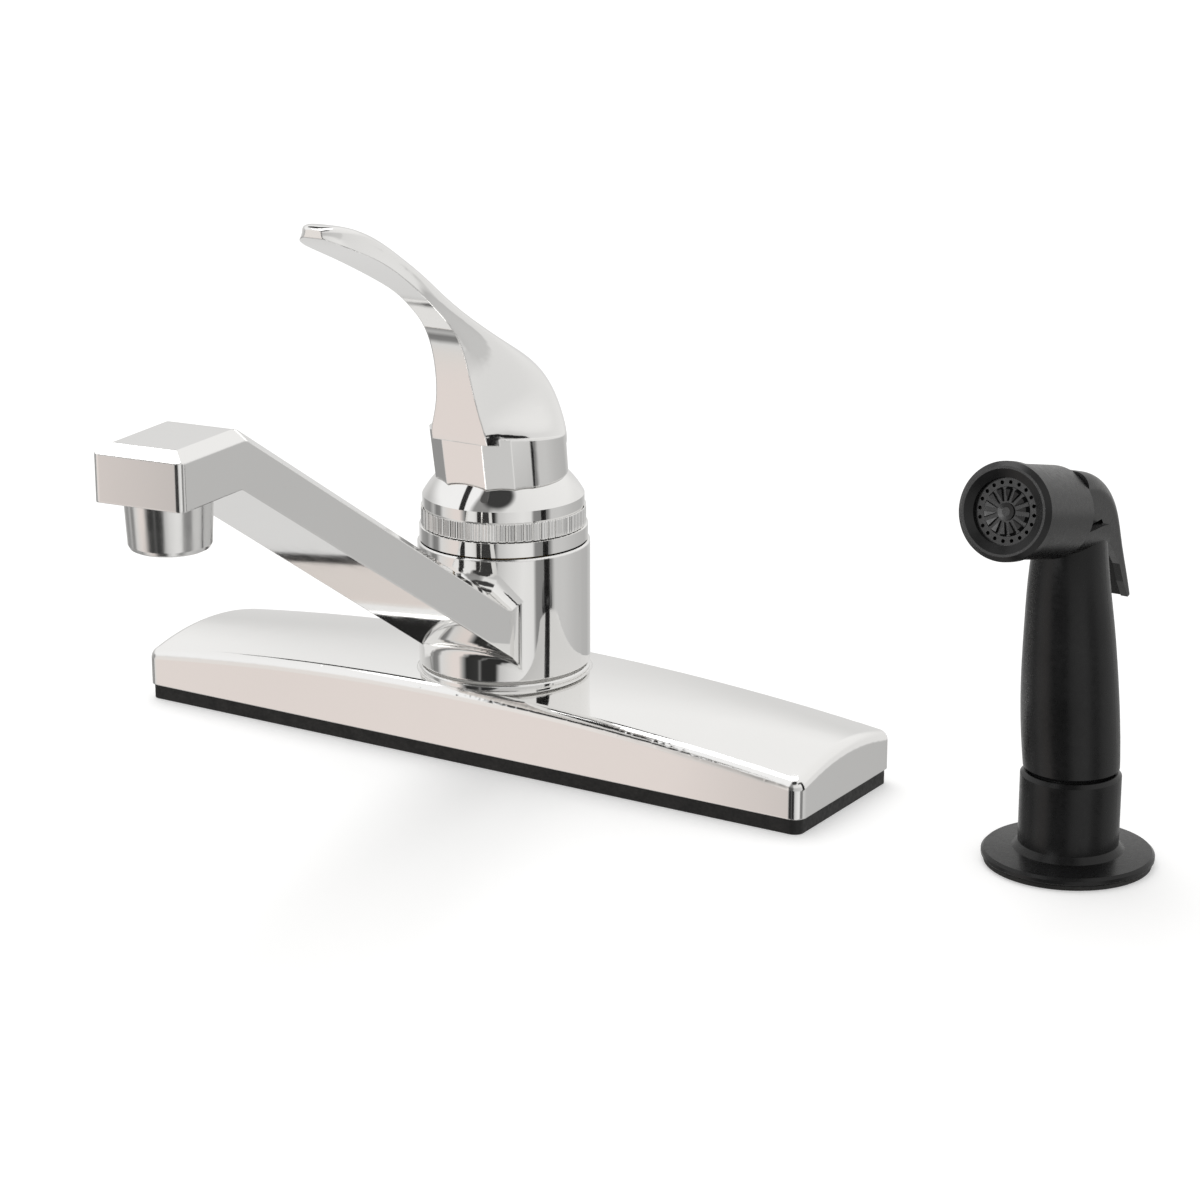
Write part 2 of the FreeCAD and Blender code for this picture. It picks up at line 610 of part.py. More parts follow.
def spout():
    arm = crowned_arm()
    hub = turned([(0, HUB_BOTTOM), (HUB_RADIUS - HUB_EDGE, HUB_BOTTOM),
                  (HUB_RADIUS, HUB_BOTTOM + HUB_EDGE), (HUB_RADIUS, HUB_TOP - HUB_EDGE),
                  (HUB_RADIUS - HUB_EDGE, HUB_TOP), (0, HUB_TOP)])
    whole = hub.fuse(arm).removeSplitter()
    root = edges_at(whole, is_arm_root)
    whole = whole.makeFillet(ARM_ROOT_ROUND, root)
    water = arm_prism(SPOUT_WALL, CROWN_RISE)
    bore = rod(HUB_BORE, 0, HUB_TOP + 1)
    mouth = rod(AERATOR_THREAD_RADIUS, HEAD_BOTTOM - 1,
                HEAD_BOTTOM + AERATOR_THREAD_LENGTH, 0, -SPOUT_REACH)
    return whole.cut([water, bore, mouth])


def is_arm_root(edge):
    """Edges where the arm leaves the hub's wall."""
    box = edge.BoundBox
    middle = edge.valueAt((edge.FirstParameter + edge.LastParameter) / 2)
    reach = math.hypot(middle.x, middle.y)
    inside = HUB_BOTTOM + 1 < box.ZMin and box.ZMax < HUB_TOP - 1
    return abs(reach - HUB_RADIUS) < 0.05 and inside and middle.y < 0 and not is_seam(edge)


def is_seam(edge):
    return is_upright(edge) and edge.BoundBox.XLength < 0.01 and edge.BoundBox.ZLength > HUB_RADIUS


# Aerator, on the spout's head ------------------------------------------------------------------
def on_head(shape):
    return shape.translated(V(0, -SPOUT_REACH, 0))


def aerator_housing():
    low = HEAD_BOTTOM - AERATOR_DROP
    inner = AERATOR_LOW_RADIUS - AERATOR_WALL
    shelf = low + AERATOR_LIP
    top = HEAD_BOTTOM + AERATOR_THREAD_LENGTH
    shell = turned([(inner - AERATOR_LIP, low), (AERATOR_LOW_RADIUS - AERATOR_EDGE, low),
                    (AERATOR_LOW_RADIUS - AERATOR_EDGE / 3, low + AERATOR_EDGE / 3),
                    (AERATOR_LOW_RADIUS, low + AERATOR_EDGE), (AERATOR_TOP_RADIUS, HEAD_BOTTOM),
                    (AERATOR_THREAD_RADIUS, HEAD_BOTTOM), (AERATOR_THREAD_RADIUS, top),
                    (inner, top), (inner, shelf), (inner - AERATOR_LIP, shelf)])
    return on_head(shell)


def aerator_inner_radius():
    return AERATOR_LOW_RADIUS - AERATOR_WALL


def aerator_screen():
    low = HEAD_BOTTOM - AERATOR_DROP + AERATOR_LIP
    disc = rod(aerator_inner_radius(), low, low + SCREEN_THICKNESS)
    pitch = 2 * aerator_inner_radius() / (SCREEN_SLOTS + 1)
    slots = []
    for index in range(SCREEN_SLOTS):
        x = (index - (SCREEN_SLOTS - 1) / 2) * pitch
        half = math.sqrt((aerator_inner_radius() - AERATOR_LIP - 1) ** 2 - x ** 2)
        slots.append(Part.makeBox(SCREEN_SLOT_WIDTH, 2 * half, 3 * SCREEN_THICKNESS,
                                  V(x - SCREEN_SLOT_WIDTH / 2, -half, low - SCREEN_THICKNESS)))
    return on_head(disc.cut(slots))


def flow_disc():
    low = HEAD_BOTTOM - AERATOR_DROP + AERATOR_LIP + SCREEN_THICKNESS
    radius = aerator_inner_radius()
    cup = turned([(0, low), (radius, low), (radius, low + FLOW_DISC_HEIGHT),
                  (radius - 1, low + FLOW_DISC_HEIGHT), (radius - 1, low + FLOW_DISC_HEIGHT / 2),
                  (0, low + FLOW_DISC_HEIGHT / 2)])
    hole = rod(FLOW_HOLE_RADIUS, low - 1, low + FLOW_DISC_HEIGHT, radius * 0.6)
    return on_head(cup.cut(ring_of(hole, FLOW_HOLE_COUNT)))


def aerator_washer():
    top = HEAD_BOTTOM + AERATOR_THREAD_LENGTH
    outer = aerator_inner_radius()
    return on_head(tube(outer, outer - WASHER_WIDTH, top - WASHER_THICKNESS, top))


# Bonnet ---------------------------------------------------------------------------------------
def bonnet_cap():
    """Threaded cap: plain band, ribbed band, land and domed shoulder."""
    groove = CAP_LAND_RADIUS - CAP_GROOVE
    land_top = dome_height(CAP_LAND_RADIUS, DOME_RADIUS)
    dome_top = dome_height(RING_BORE_RADIUS, DOME_RADIUS)
    blank = turned([(BARREL_RADIUS, CAP_BOTTOM), (CAP_PLAIN_RADIUS, CAP_BOTTOM),
                    (CAP_PLAIN_RADIUS, CAP_KNURL_BOTTOM - CAP_GROOVE), (groove, CAP_KNURL_BOTTOM),
                    (CAP_KNURL_RADIUS, CAP_KNURL_BOTTOM), (CAP_KNURL_RADIUS, CAP_LAND_BOTTOM),
                    (groove, CAP_LAND_BOTTOM), (groove, CAP_LAND_BOTTOM + CAP_GROOVE),
                    (CAP_LAND_RADIUS, CAP_LAND_BOTTOM + CAP_GROOVE), (CAP_LAND_RADIUS, land_top),
                    (CAP_LAND_RADIUS, dome_top), (RING_BORE_RADIUS, dome_top),
                    (RING_BORE_RADIUS, CAP_CEILING), (CAM_FLANGE_RADIUS, CAP_CEILING),
                    (CAM_FLANGE_RADIUS, BARREL_TOP + FREE_GAP), (BARREL_RADIUS, BARREL_TOP + FREE_GAP)])
    below = rod(2 * DOME_RADIUS, 0, land_top)
    domed = blank.common(below.fuse(Part.makeSphere(DOME_RADIUS, V(0, 0, BALL_CENTRE))))
    return domed.cut(knurl_cutters())


def knurl_cutters():
    """Upright V grooves round the ribbed band."""
    pitch = 2 * math.pi * CAP_KNURL_RADIUS / CAP_KNURL_COUNT
    bottom = CAP_KNURL_BOTTOM
    root = V(CAP_KNURL_RADIUS - CAP_KNURL_DEPTH, 0, bottom)
    half = CAP_KNURL_SHARE * pitch / 2
    left = V(CAP_KNURL_RADIUS + 1, -half, bottom)
    right = V(CAP_KNURL_RADIUS + 1, half, bottom)
    groove = Part.Face(Part.makePolygon([root, left, right, root]))
    return ring_of(groove.extrude(V(0, 0, CAP_KNURL_HEIGHT)), CAP_KNURL_COUNT)


def guide_ring():
    """Ring that turns with the stem and lets it tilt back in its slot."""
    low = CAP_CEILING
    disc = rod(RING_BORE_RADIUS - RUNNING_GAP, low, GUIDE_TOP)
    half = STEM_RADIUS + STEM_SLOT_GAP
    lean = math.radians(LIFT_RANGE)
    back = (GUIDE_TOP - BALL_CENTRE) * math.tan(lean) + half / math.cos(lean) + FREE_GAP
    slot = joined([Part.makeBox(2 * half, back - half, 3 * GUIDE_THICKNESS,
                                V(-half, 0, low - GUIDE_THICKNESS)),
                   rod(half, low - GUIDE_THICKNESS, GUIDE_TOP + GUIDE_THICKNESS),
                   rod(half, low - GUIDE_THICKNESS, GUIDE_TOP + GUIDE_THICKNESS, 0, back - half)])
    return disc.cut(slot)


def adjusting_ring():
    ring = tube(RING_BORE_RADIUS, ADJUSTER_BORE_RADIUS, ADJUSTER_BOTTOM, ADJUSTER_BOTTOM + ADJUSTER_HEIGHT)
    notch = Part.makeBox(2 * ADJUSTER_NOTCH_WIDTH, ADJUSTER_NOTCH_WIDTH, ADJUSTER_HEIGHT,
                         V(ADJUSTER_BORE_RADIUS - ADJUSTER_NOTCH_WIDTH, -ADJUSTER_NOTCH_WIDTH / 2,
                           ADJUSTER_BOTTOM + ADJUSTER_HEIGHT / 2))
    return ring.cut(ring_of(notch, ADJUSTER_NOTCHES))


# Lever handle -----------------------------------------------------------------------------------
def skirt_section(radius, shift, front_height, back_height):
    """Outline of the skirt: flats at the front, round at the back, on a sloping plane."""
    def at(angle):
        x = radius * math.sin(math.radians(angle))
        y = -shift - radius * math.cos(math.radians(angle))
        share = (y + shift + radius) / (2 * radius)
        return V(x, y, front_height + (back_height - front_height) * share)
    right = [at(angle) for angle in SKIRT_FACET_ANGLES]
    left = [at(-angle) for angle in reversed(SKIRT_FACET_ANGLES)]
    corners = left + right
    flats = [Part.makeLine(first, second) for first, second in zip(corners, corners[1:])]
    first = SKIRT_FACET_ANGLES[-1]
    steps = SKIRT_BACK_POINTS
    turns = [first + (360 - 2 * first) * index / steps for index in range(steps + 1)]
    curve = Part.BSplineCurve()
    curve.interpolate([at(turn) for turn in turns])
    return Part.Wire(flats + [curve.toShape()])


def handle_skirt():
    low = BALL_CENTRE + DOME_RADIUS / 2
    foot = skirt_section(SKIRT_RADIUS, 0, low, low)
    top = skirt_section(SKIRT_TOP_RADIUS, SKIRT_TOP_SHIFT, BALL_CENTRE + SKIRT_FRONT_SHARE * LEVER_REACH,
                        BALL_CENTRE + SKIRT_BACK_SHARE * LEVER_REACH)
    return Part.makeLoft([foot, top], True, True)


def hood_section(front, back, front_half, back_half, roundness):
    """Outline in the plane through a front point, a back point and X.

    Points and half widths are shares of the lever's reach, with heights from the ball's
    centre.  The front is a straight strip.  The rest is one curve that widens from the
    strip to back_half and closes round the back point.
    """
    start = V(0, -front[0] * LEVER_REACH, BALL_CENTRE + front[1] * LEVER_REACH)
    run = V(0, -back[0] * LEVER_REACH, BALL_CENTRE + back[1] * LEVER_REACH) - start
    front_half = front_half * LEVER_REACH
    back_half = back_half * LEVER_REACH
    length = run.Length
    ahead = run.normalize()
    widest = max(0.45 * length, length - back_half)
    right = [(front_half, 0.0), ((front_half + 2 * back_half) / 3, 0.55 * widest)]
    for step in range(4):
        turn = math.radians(90.0 * step / 4)
        right.append((back_half * math.cos(turn) ** roundness,
                      widest + (length - widest) * math.sin(turn) ** roundness))
    outline = right + [(0.0, length)] + [(-x, along) for x, along in reversed(right)]
    points = [start + V(x, 0, 0) + ahead * along for x, along in outline]
    curve = Part.BSplineCurve()
    curve.interpolate(points)
    return Part.Wire([Part.makeLine(points[-1], points[0]), curve.toShape()])


def handle_blade():
    """Hood, neck and paddle: one loft whose sections swing from level to upright."""
    sections = [
        hood_section((0.251, 0.370), (-0.205, 0.308), 0.107, 0.216, 1.0),
        hood_section((0.261, 0.441), (-0.197, 0.406), 0.095, 0.197, 1.0),
        hood_section((0.269, 0.513), (-0.164, 0.503), 0.077, 0.160, 1.0),
        hood_section((0.287, 0.606), (-0.087, 0.590), 0.066, 0.125, 1.0),
        hood_section((0.318, 0.698), (0.036, 0.667), 0.061, 0.094, 1.0),
        hood_section((0.370, 0.776), (0.190, 0.756), 0.055, 0.074, 0.9),
        hood_section((0.436, 0.838), (0.344, 0.858), 0.052, 0.060, 0.8),
        hood_section((0.524, 0.906), (0.483, 0.959), 0.055, 0.054, 0.7),
        hood_section((0.637, 0.973), (0.611, 1.035), 0.074, 0.068, 0.6),
        hood_section((0.760, 1.037), (0.739, 1.103), 0.094, 0.086, 0.5),
        hood_section((0.883, 1.092), (0.867, 1.161), 0.099, 0.092, 0.5),
        hood_section((0.945, 1.119), (0.934, 1.180), 0.086, 0.080, 0.5),
        hood_section((0.982, 1.138), (0.975, 1.182), 0.064, 0.057, 0.5),
        hood_section((1.000, 1.150), (0.998, 1.175), 0.037, 0.031, 0.5),
    ]
    return Part.makeLoft(sections, True, False)


def handle():
    solid = handle_skirt().fuse(handle_blade())
    pocket = tube(SKIRT_RADIUS - SKIRT_WALL, STEM_RADIUS + STEM_BOSS_WALL, BALL_CENTRE, SKIRT_POCKET_TOP)
    over_dome = Part.makeSphere(DOME_RADIUS + DROP_GAP, V(0, 0, BALL_CENTRE))
    socket = rod(STEM_RADIUS, BALL_CENTRE, STEM_TOP)
    screw_hole = rod_along(SCREW_RADIUS, V(0, STEM_RADIUS / 2, SCREW_HEIGHT),
                           V(0, 2 * SKIRT_RADIUS, SCREW_HEIGHT))
    return solid.cut([over_dome, pocket, socket, screw_hole])


def handle_set_screw():
    start = V(0, STEM_RADIUS, SCREW_HEIGHT)
    end = V(0, STEM_RADIUS + SCREW_LENGTH, SCREW_HEIGHT)
    screw = rod_along(SCREW_RADIUS, start, end)
    corners = [V(SCREW_HEX / math.sqrt(3) * math.cos(math.radians(60 * k)), end.y,
                 SCREW_HEIGHT + SCREW_HEX / math.sqrt(3) * math.sin(math.radians(60 * k)))
               for k in range(6)]
    socket = Part.Face(Part.makePolygon(corners + corners[:1])).extrude(V(0, -SCREW_LENGTH / 3, 0))
    return screw.cut(socket)


# Side sprayer ------------------------------------------------------------------------------------
def at_sprayer(shape):
    return shape.translated(V(SPRAY_X, SPRAY_Y, 0))


def guide_washer():
    return at_sprayer(tube(FLANGE_RADIUS - GUIDE_WASHER_INSET, GUIDE_THREAD_RADIUS + 1, 0,
                           GUIDE_WASHER_THICKNESS))


def spray_guide():
    """Flange and collar that stand on the sink."""
    low = GUIDE_WASHER_THICKNESS
    rim = low + FLANGE_RIM
    root = rim + FLANGE_DISH
    thread_top = low + GUIDE_THREAD_LENGTH
    body = turned([(TAIL_RADIUS + DROP_GAP, thread_top), (GUIDE_THREAD_RADIUS, thread_top),
                   (GUIDE_THREAD_RADIUS, low), (FLANGE_RADIUS - FLANGE_EDGE, low),
                   (FLANGE_RADIUS, low + FLANGE_EDGE), (FLANGE_RADIUS, rim - FLANGE_EDGE),
                   (FLANGE_RADIUS - FLANGE_EDGE, rim), (COLLAR_RADIUS + COLLAR_ROOT, root),
                   (COLLAR_RADIUS, root + COLLAR_ROOT), (COLLAR_RADIUS, COLLAR_TOP - COLLAR_CHAMFER),
                   (COLLAR_RADIUS - COLLAR_CHAMFER, COLLAR_TOP), (TAIL_RADIUS + DROP_GAP, COLLAR_TOP)])
    return at_sprayer(body)


def hose_coupling():
    """Nut at the foot of the wand with the swivel nipple on it."""
    top = TAIL_BOTTOM - FREE_GAP - COUPLING_WASHER
    nut = rod(COUPLING_RADIUS, COUPLING_BOTTOM, top)
    across = COUPLING_RADIUS * math.cos(math.pi / COUPLING_FLATS)
    flat = Part.makeBox(COUPLING_RADIUS, 2 * COUPLING_RADIUS, COUPLING_BOTTOM + 1,
                        V(across, -COUPLING_RADIUS, COUPLING_BOTTOM - 1))
    nut = nut.cut(ring_of(flat, COUPLING_FLATS))
    whole = joined([nut, rod(NIPPLE_RADIUS, top, NIPPLE_TOP)])
    groove = tube(NIPPLE_RADIUS + 1, NIPPLE_RADIUS - SNAP_RING_WIDTH / 2, SNAP_RING_HEIGHT,
                  SNAP_RING_HEIGHT + SNAP_RING_THICKNESS)
    return at_sprayer(whole.cut([groove, rod(HOSE_BORE_RADIUS, 0, NIPPLE_TOP + 1)]))


def coupling_washer():
    top = TAIL_BOTTOM - FREE_GAP
    return at_sprayer(tube(COUPLING_RADIUS - 1, NIPPLE_RADIUS, top - COUPLING_WASHER, top))


def snap_ring():
    ring = tube(NIPPLE_RADIUS + SNAP_RING_WIDTH / 2, NIPPLE_RADIUS - SNAP_RING_WIDTH / 2,
                SNAP_RING_HEIGHT, SNAP_RING_HEIGHT + SNAP_RING_THICKNESS)
    gap = Part.makeBox(2 * NIPPLE_RADIUS, SNAP_RING_WIDTH, 4 * SNAP_RING_THICKNESS,
                       V(0, -SNAP_RING_WIDTH / 2, SNAP_RING_HEIGHT - SNAP_RING_THICKNESS))
    return at_sprayer(ring.cut(gap))


def head_axis():
    """Direction in which the spray face looks."""
    tilt = math.radians(HEAD_TILT)
    return V(0, -math.cos(tilt), math.sin(tilt))


def behind_face(distance):
    """Point on the head's axis, this far behind the face."""
    return V(0, -FACE_AHEAD, FACE_HEIGHT) - head_axis() * distance


def head_rod(radius, start, end):
    """Cylinder on the head's axis between two distances behind the face."""
    return rod_along(radius, behind_face(end), behind_face(start))


def grip():
    """Leaning grip, widest below its middle, lofted through circles."""
    span = GRIP_NECK_HEIGHT - WAND_BOTTOM
    foot = WAND_BOTTOM + COLLAR_CHAMFER
    sections = []
    for share in (0.0, 0.3, 0.55, 0.78, 1.0, 1.18, 1.36):
        height = foot + share * (GRIP_NECK_HEIGHT - foot)
        ahead = GRIP_LEAN * min(share, 1.0) ** GRIP_LEAN_CURVE
        radius = grip_radius(height)
        ring = Part.makeCircle(radius, V(0, -ahead, height), UP)
        sections.append(Part.Wire([ring]))
    body = Part.makeLoft(sections, True, False)
    chamfer = Part.makeCone(GRIP_BOTTOM_RADIUS - COLLAR_CHAMFER, GRIP_BOTTOM_RADIUS, COLLAR_CHAMFER,
                            V(0, 0, WAND_BOTTOM), UP)
    tail = rod(TAIL_RADIUS, TAIL_BOTTOM, foot + span / 10)
    return [body, chamfer, tail]


def grip_radius(height):
    """Radius of the grip: a belly low down, then a long taper to the neck."""
    if height < GRIP_BELLY_HEIGHT:
        share = (GRIP_BELLY_HEIGHT - height) / (GRIP_BELLY_HEIGHT - WAND_BOTTOM - COLLAR_CHAMFER)
        return GRIP_BELLY_RADIUS - (GRIP_BELLY_RADIUS - GRIP_BOTTOM_RADIUS) * share ** 2
    share = (height - GRIP_BELLY_HEIGHT) / (GRIP_NECK_HEIGHT - GRIP_BELLY_HEIGHT)
    return GRIP_BELLY_RADIUS - (GRIP_BELLY_RADIUS - GRIP_NECK_RADIUS) * share ** 1.5


def from_pivot(steps):
    """(forward, height) points from steps ahead of and above the pivot."""
    return [(PIVOT_AHEAD + ahead, PIVOT_HEIGHT + above) for ahead, above in steps]


def trigger_line():
    """Outer side of the trigger, from the barrel's end over the back to the tip."""
    return from_pivot([(8.0, 9.4), (-1.0, 7.1), (-9.0, 3.0), (-18.4, -5.4), (-27.0, -18.0),
                       (-35.4, -30.0), (-41.2, -38.3)])


def cheek_line():
    """Lower edge of the trigger's cheeks, from the tip back to the barrel."""
    return from_pivot([(-38.0, -38.9), (-31.9, -32.6), (-26.0, -25.6), (-14.1, -15.9), (-5.1, -6.9),
                       (12.5, -6.9)])


def curve_through(points, x):
    curve = Part.BSplineCurve()
    curve.interpolate([V(x, -forward, height) for forward, height in points])
    return curve


def space_behind(offset, half_width):
    """Everything above and behind the trigger's line, drawn in by offset."""
    inner = shifted_curve(trigger_line(), offset, -half_width).toShape()
    start = inner.Vertexes[0].Point
    end = inner.Vertexes[-1].Point
    back = end + V(0, FACE_AHEAD, 0)
    above = start + V(0, 0, FACE_AHEAD)
    far = [end, back, V(-half_width, back.y, above.z), above, start]
    face = Part.Face(Part.Wire([inner] + Part.makePolygon(far).Edges))
    return face.extrude(V(2 * half_width, 0, 0))


def cheek_space():
    """Everything above the cheeks' lower edge and outside the room between the cheeks."""
    edge = [(ahead + FREE_GAP, height - FREE_GAP) for ahead, height in cheek_line()]
    front, low = edge[-1]
    outline = edge + [(front, 2 * FACE_HEIGHT), (-FACE_AHEAD, 2 * FACE_HEIGHT), (-FACE_AHEAD, edge[0][1])]
    return side_prism(outline, 2 * TRIGGER_HALF_WIDTH).cut(trigger_width(TRIGGER_CHEEK + 2 * FREE_GAP))


def swept(space, turn=TRIGGER_RANGE):
    """A shape at the start, middle and end of a turn about the trigger's pivot."""
    spaces = []
    for share in (0.0, 0.5, 1.0):
        turned_space = space.copy()
        turned_space.rotate(V(0, -PIVOT_AHEAD, PIVOT_HEIGHT), V(-1, 0, 0), share * turn)
        spaces.append(turned_space)
    return spaces


def button_ahead():
    """Forward place of the plunger's round end, just clear of the trigger's inner side."""
    line = trigger_line()
    above = [point for point in line if point[1] >= PLUNGER_HEIGHT][-1]
    below = [point for point in line if point[1] < PLUNGER_HEIGHT][0]
    run = above[0] - below[0]
    rise = above[1] - below[1]
    at_height = below[0] + run * (PLUNGER_HEIGHT - below[1]) / rise
    clear = TRIGGER_THICKNESS + FREE_GAP + PLUNGER_BUTTON_RADIUS
    return at_height + clear * math.hypot(run, rise) / rise


def plunger_rod(radius, start, end):
    """Cylinder on the plunger's axis, between two distances ahead of its button."""
    ahead = button_ahead()
    return rod_along(radius, V(0, -ahead - start, PLUNGER_HEIGHT), V(0, -ahead - end, PLUNGER_HEIGHT))


def shifted_curve(points, offset, x):
    """The same line moved towards the wand by offset, square to itself."""
    shifted = []
    for index, (forward, height) in enumerate(points):
        before = points[max(index - 1, 0)]
        after = points[min(index + 1, len(points) - 1)]
        run_f = after[0] - before[0]
        run_h = after[1] - before[1]
        size = math.hypot(run_f, run_h)
        shifted.append((forward - run_h / size * offset, height + run_f / size * offset))
    return curve_through(shifted, x)


def pivot_rod(radius, half_length):
    """Cylinder on the trigger's pivot."""
    return rod_along(radius, V(-half_length, -PIVOT_AHEAD, PIVOT_HEIGHT),
                     V(half_length, -PIVOT_AHEAD, PIVOT_HEIGHT))


def rear_part():
    """Back of the head and the grip, cut back to make room for the trigger."""
    core = head_rod(BARREL_HEAD_RADIUS - 1, BARREL_END - 1, FACE_AHEAD)
    room = space_behind(TRIGGER_THICKNESS + FREE_GAP, 2 * TRIGGER_HALF_WIDTH)
    pieces = [core] + grip()
    for space in swept(room) + swept(cheek_space()):
        pieces = [piece.cut(space) for piece in pieces]
    return joined(pieces)


def water_way():
    """Chamber behind the face and the bent bore that feeds it."""
    bend = V(0, -GRIP_LEAN, PLUNGER_HEIGHT + 2 * HOSE_BORE_RADIUS)
    chamber_end = FACE_RING_DEPTH + CHAMBER_DEPTH
    return [head_rod(CHAMBER_RADIUS, FACE_RING_DEPTH - 1, chamber_end),
            rod_along(HOSE_BORE_RADIUS, V(0, 0, NIPPLE_TOP), bend),
            rod_along(HOSE_BORE_RADIUS, bend, behind_face(chamber_end)),
            Part.makeSphere(HOSE_BORE_RADIUS, bend)]


def wand_body():
    front = head_rod(BARREL_HEAD_RADIUS, FACE_RING_DEPTH + BARREL_GROOVE, BARREL_END)
    spigot = head_rod(BARREL_HEAD_RADIUS - 1, FACE_RING_DEPTH, BARREL_END)
    whole = joined([front, spigot, rear_part()])
    sockets = [rod(NIPPLE_RADIUS + RUNNING_GAP, TAIL_BOTTOM - 1, NIPPLE_TOP + FREE_GAP),
               rod(NIPPLE_RADIUS + SNAP_RING_WIDTH, SNAP_RING_HEIGHT - FREE_GAP,
                   SNAP_RING_HEIGHT + SNAP_RING_THICKNESS + FREE_GAP),
               pivot_rod(PIVOT_RADIUS, FACE_AHEAD)]
    valve = [plunger_rod(PLUNGER_RADIUS + RUNNING_GAP, 0, PLUNGER_REACH + PLUNGER_TRAVEL + FREE_GAP),
             plunger_rod(PLUNGER_BUTTON_RADIUS + FREE_GAP, -FACE_AHEAD, SPRING_LENGTH),
             plunger_rod(PLUNGER_RADIUS + PLUNGER_SEAL_WIDTH, SPRING_LENGTH,
                         SPRING_LENGTH + PLUNGER_SEAL_LENGTH)]
    return at_sprayer(whole.cut(water_way() + sockets + valve))


def plunger():
    """Valve stem that the trigger pushes in, with a round end."""
    button = Part.makeSphere(PLUNGER_BUTTON_RADIUS, V(0, -button_ahead(), PLUNGER_HEIGHT))
    return at_sprayer(joined([button, plunger_rod(PLUNGER_RADIUS, 0, PLUNGER_REACH)]))


def plunger_spring():
    sleeve = plunger_rod(PLUNGER_BUTTON_RADIUS, 0, SPRING_LENGTH)
    button = Part.makeSphere(PLUNGER_BUTTON_RADIUS + RUNNING_GAP, V(0, -button_ahead(), PLUNGER_HEIGHT))
    return at_sprayer(sleeve.cut([plunger_rod(PLUNGER_BUTTON_RADIUS - SPRING_WALL, -1, SPRING_LENGTH + 1),
                                  button]))


def plunger_seal():
    ring = plunger_rod(PLUNGER_RADIUS + PLUNGER_SEAL_WIDTH, SPRING_LENGTH,
                       SPRING_LENGTH + PLUNGER_SEAL_LENGTH)
    hole = plunger_rod(PLUNGER_RADIUS + RUNNING_GAP, 0, PLUNGER_REACH)
    return at_sprayer(ring.cut(hole))


def face_ring():
    """Bezel round the spray face, dished towards its opening."""
    outer = FACE_RING_RADIUS
    dish = outer - FACE_LIP - FACE_EDGE
    ring = turned([(FACE_OPENING_RADIUS, -NOZZLE_RECESS), (FACE_OPENING_RADIUS, -FACE_DISH),
                   (dish, 0), (outer - FACE_LIP, 0), (outer, -FACE_LIP),
                   (outer, FACE_EDGE - FACE_RING_DEPTH), (outer - FACE_EDGE, -FACE_RING_DEPTH),
                   (NOZZLE_RADIUS, -FACE_RING_DEPTH), (NOZZLE_RADIUS, -NOZZLE_RECESS)])
    return at_sprayer(onto_head(ring))


def onto_head(shape):
    """Move a shape built round +Z at the origin to the head's face."""
    turn = FreeCAD.Rotation(UP, head_axis())
    placed = shape.copy()
    placed.Placement = FreeCAD.Placement(behind_face(0), turn).multiply(placed.Placement)
    return placed


def spray_nozzle():
    """Disc with a fluted cone in its middle and small holes round it."""
    radius = NOZZLE_RADIUS
    top = -NOZZLE_RECESS
    cone_top = top + NOZZLE_RECESS / 2
    cup = cone_top - NOZZLE_CUP_DEPTH
    disc = turned([(0, top - NOZZLE_THICKNESS), (radius, top - NOZZLE_THICKNESS), (radius, top),
                   (NOZZLE_CONE_RADIUS, top), (NOZZLE_CONE_RADIUS - FACE_EDGE, cone_top),
                   (NOZZLE_CUP_RADIUS, cup), (0, cup)])
    flute = Part.makeBox(NOZZLE_CONE_RADIUS, NOZZLE_FLUTE_WIDTH, NOZZLE_RECESS,
                         V(2 * NOZZLE_CUP_RADIUS, -NOZZLE_FLUTE_WIDTH / 2, cone_top - NOZZLE_FLUTE_DEPTH))
    hole = rod(NOZZLE_HOLE_RADIUS, top - NOZZLE_THICKNESS - 1, top + 1,
               (NOZZLE_CONE_RADIUS + FACE_OPENING_RADIUS) / 2)
    disc = disc.cut([ring_of(flute, NOZZLE_FLUTES), ring_of(hole, NOZZLE_HOLES)])
    return at_sprayer(onto_head(disc))


def face_seal():
    low = -FACE_RING_DEPTH
    return at_sprayer(onto_head(tube(NOZZLE_RADIUS, CHAMBER_RADIUS, low, low + FACE_SEAL_THICKNESS)))


def trigger_width(inset):
    """Prism along Y between the trigger's two sides, drawn in by inset."""
    low = trigger_line()[-1][1] - 1
    high = FACE_HEIGHT + BARREL_HEAD_RADIUS
    corners = [V(side * (trigger_half(height) - inset), -FACE_AHEAD, height)
               for side, height in ((1, low), (1, high), (-1, high), (-1, low))]
    return Part.Face(Part.makePolygon(corners + corners[:1])).extrude(V(0, 2 * FACE_AHEAD, 0))


def trigger_half(height):
    """Half of the trigger's width, which narrows towards the tip."""
    tip = trigger_line()[-1][1]
    share = (height - tip) / (PIVOT_HEIGHT - tip)
    return TRIGGER_TIP_HALF_WIDTH + (TRIGGER_HALF_WIDTH - TRIGGER_TIP_HALF_WIDTH) * share


def trigger_block():
    """The trigger before it is hollowed, with its outer corners rounded."""
    outer = curve_through(trigger_line(), -FACE_AHEAD).toShape()
    start = outer.Vertexes[0].Point
    end = outer.Vertexes[-1].Point
    edge = [V(-FACE_AHEAD, -ahead, height) for ahead, height in cheek_line()]
    face = Part.Face(Part.Wire([outer] + Part.makePolygon([end] + edge + [start]).Edges))
    block = face.extrude(V(2 * FACE_AHEAD, 0, 0)).common(trigger_width(0))
    corners = edges_at(block, is_trigger_corner)
    return block.makeFillet(TRIGGER_ROUND_TIP, TRIGGER_ROUND_TOP, corners)


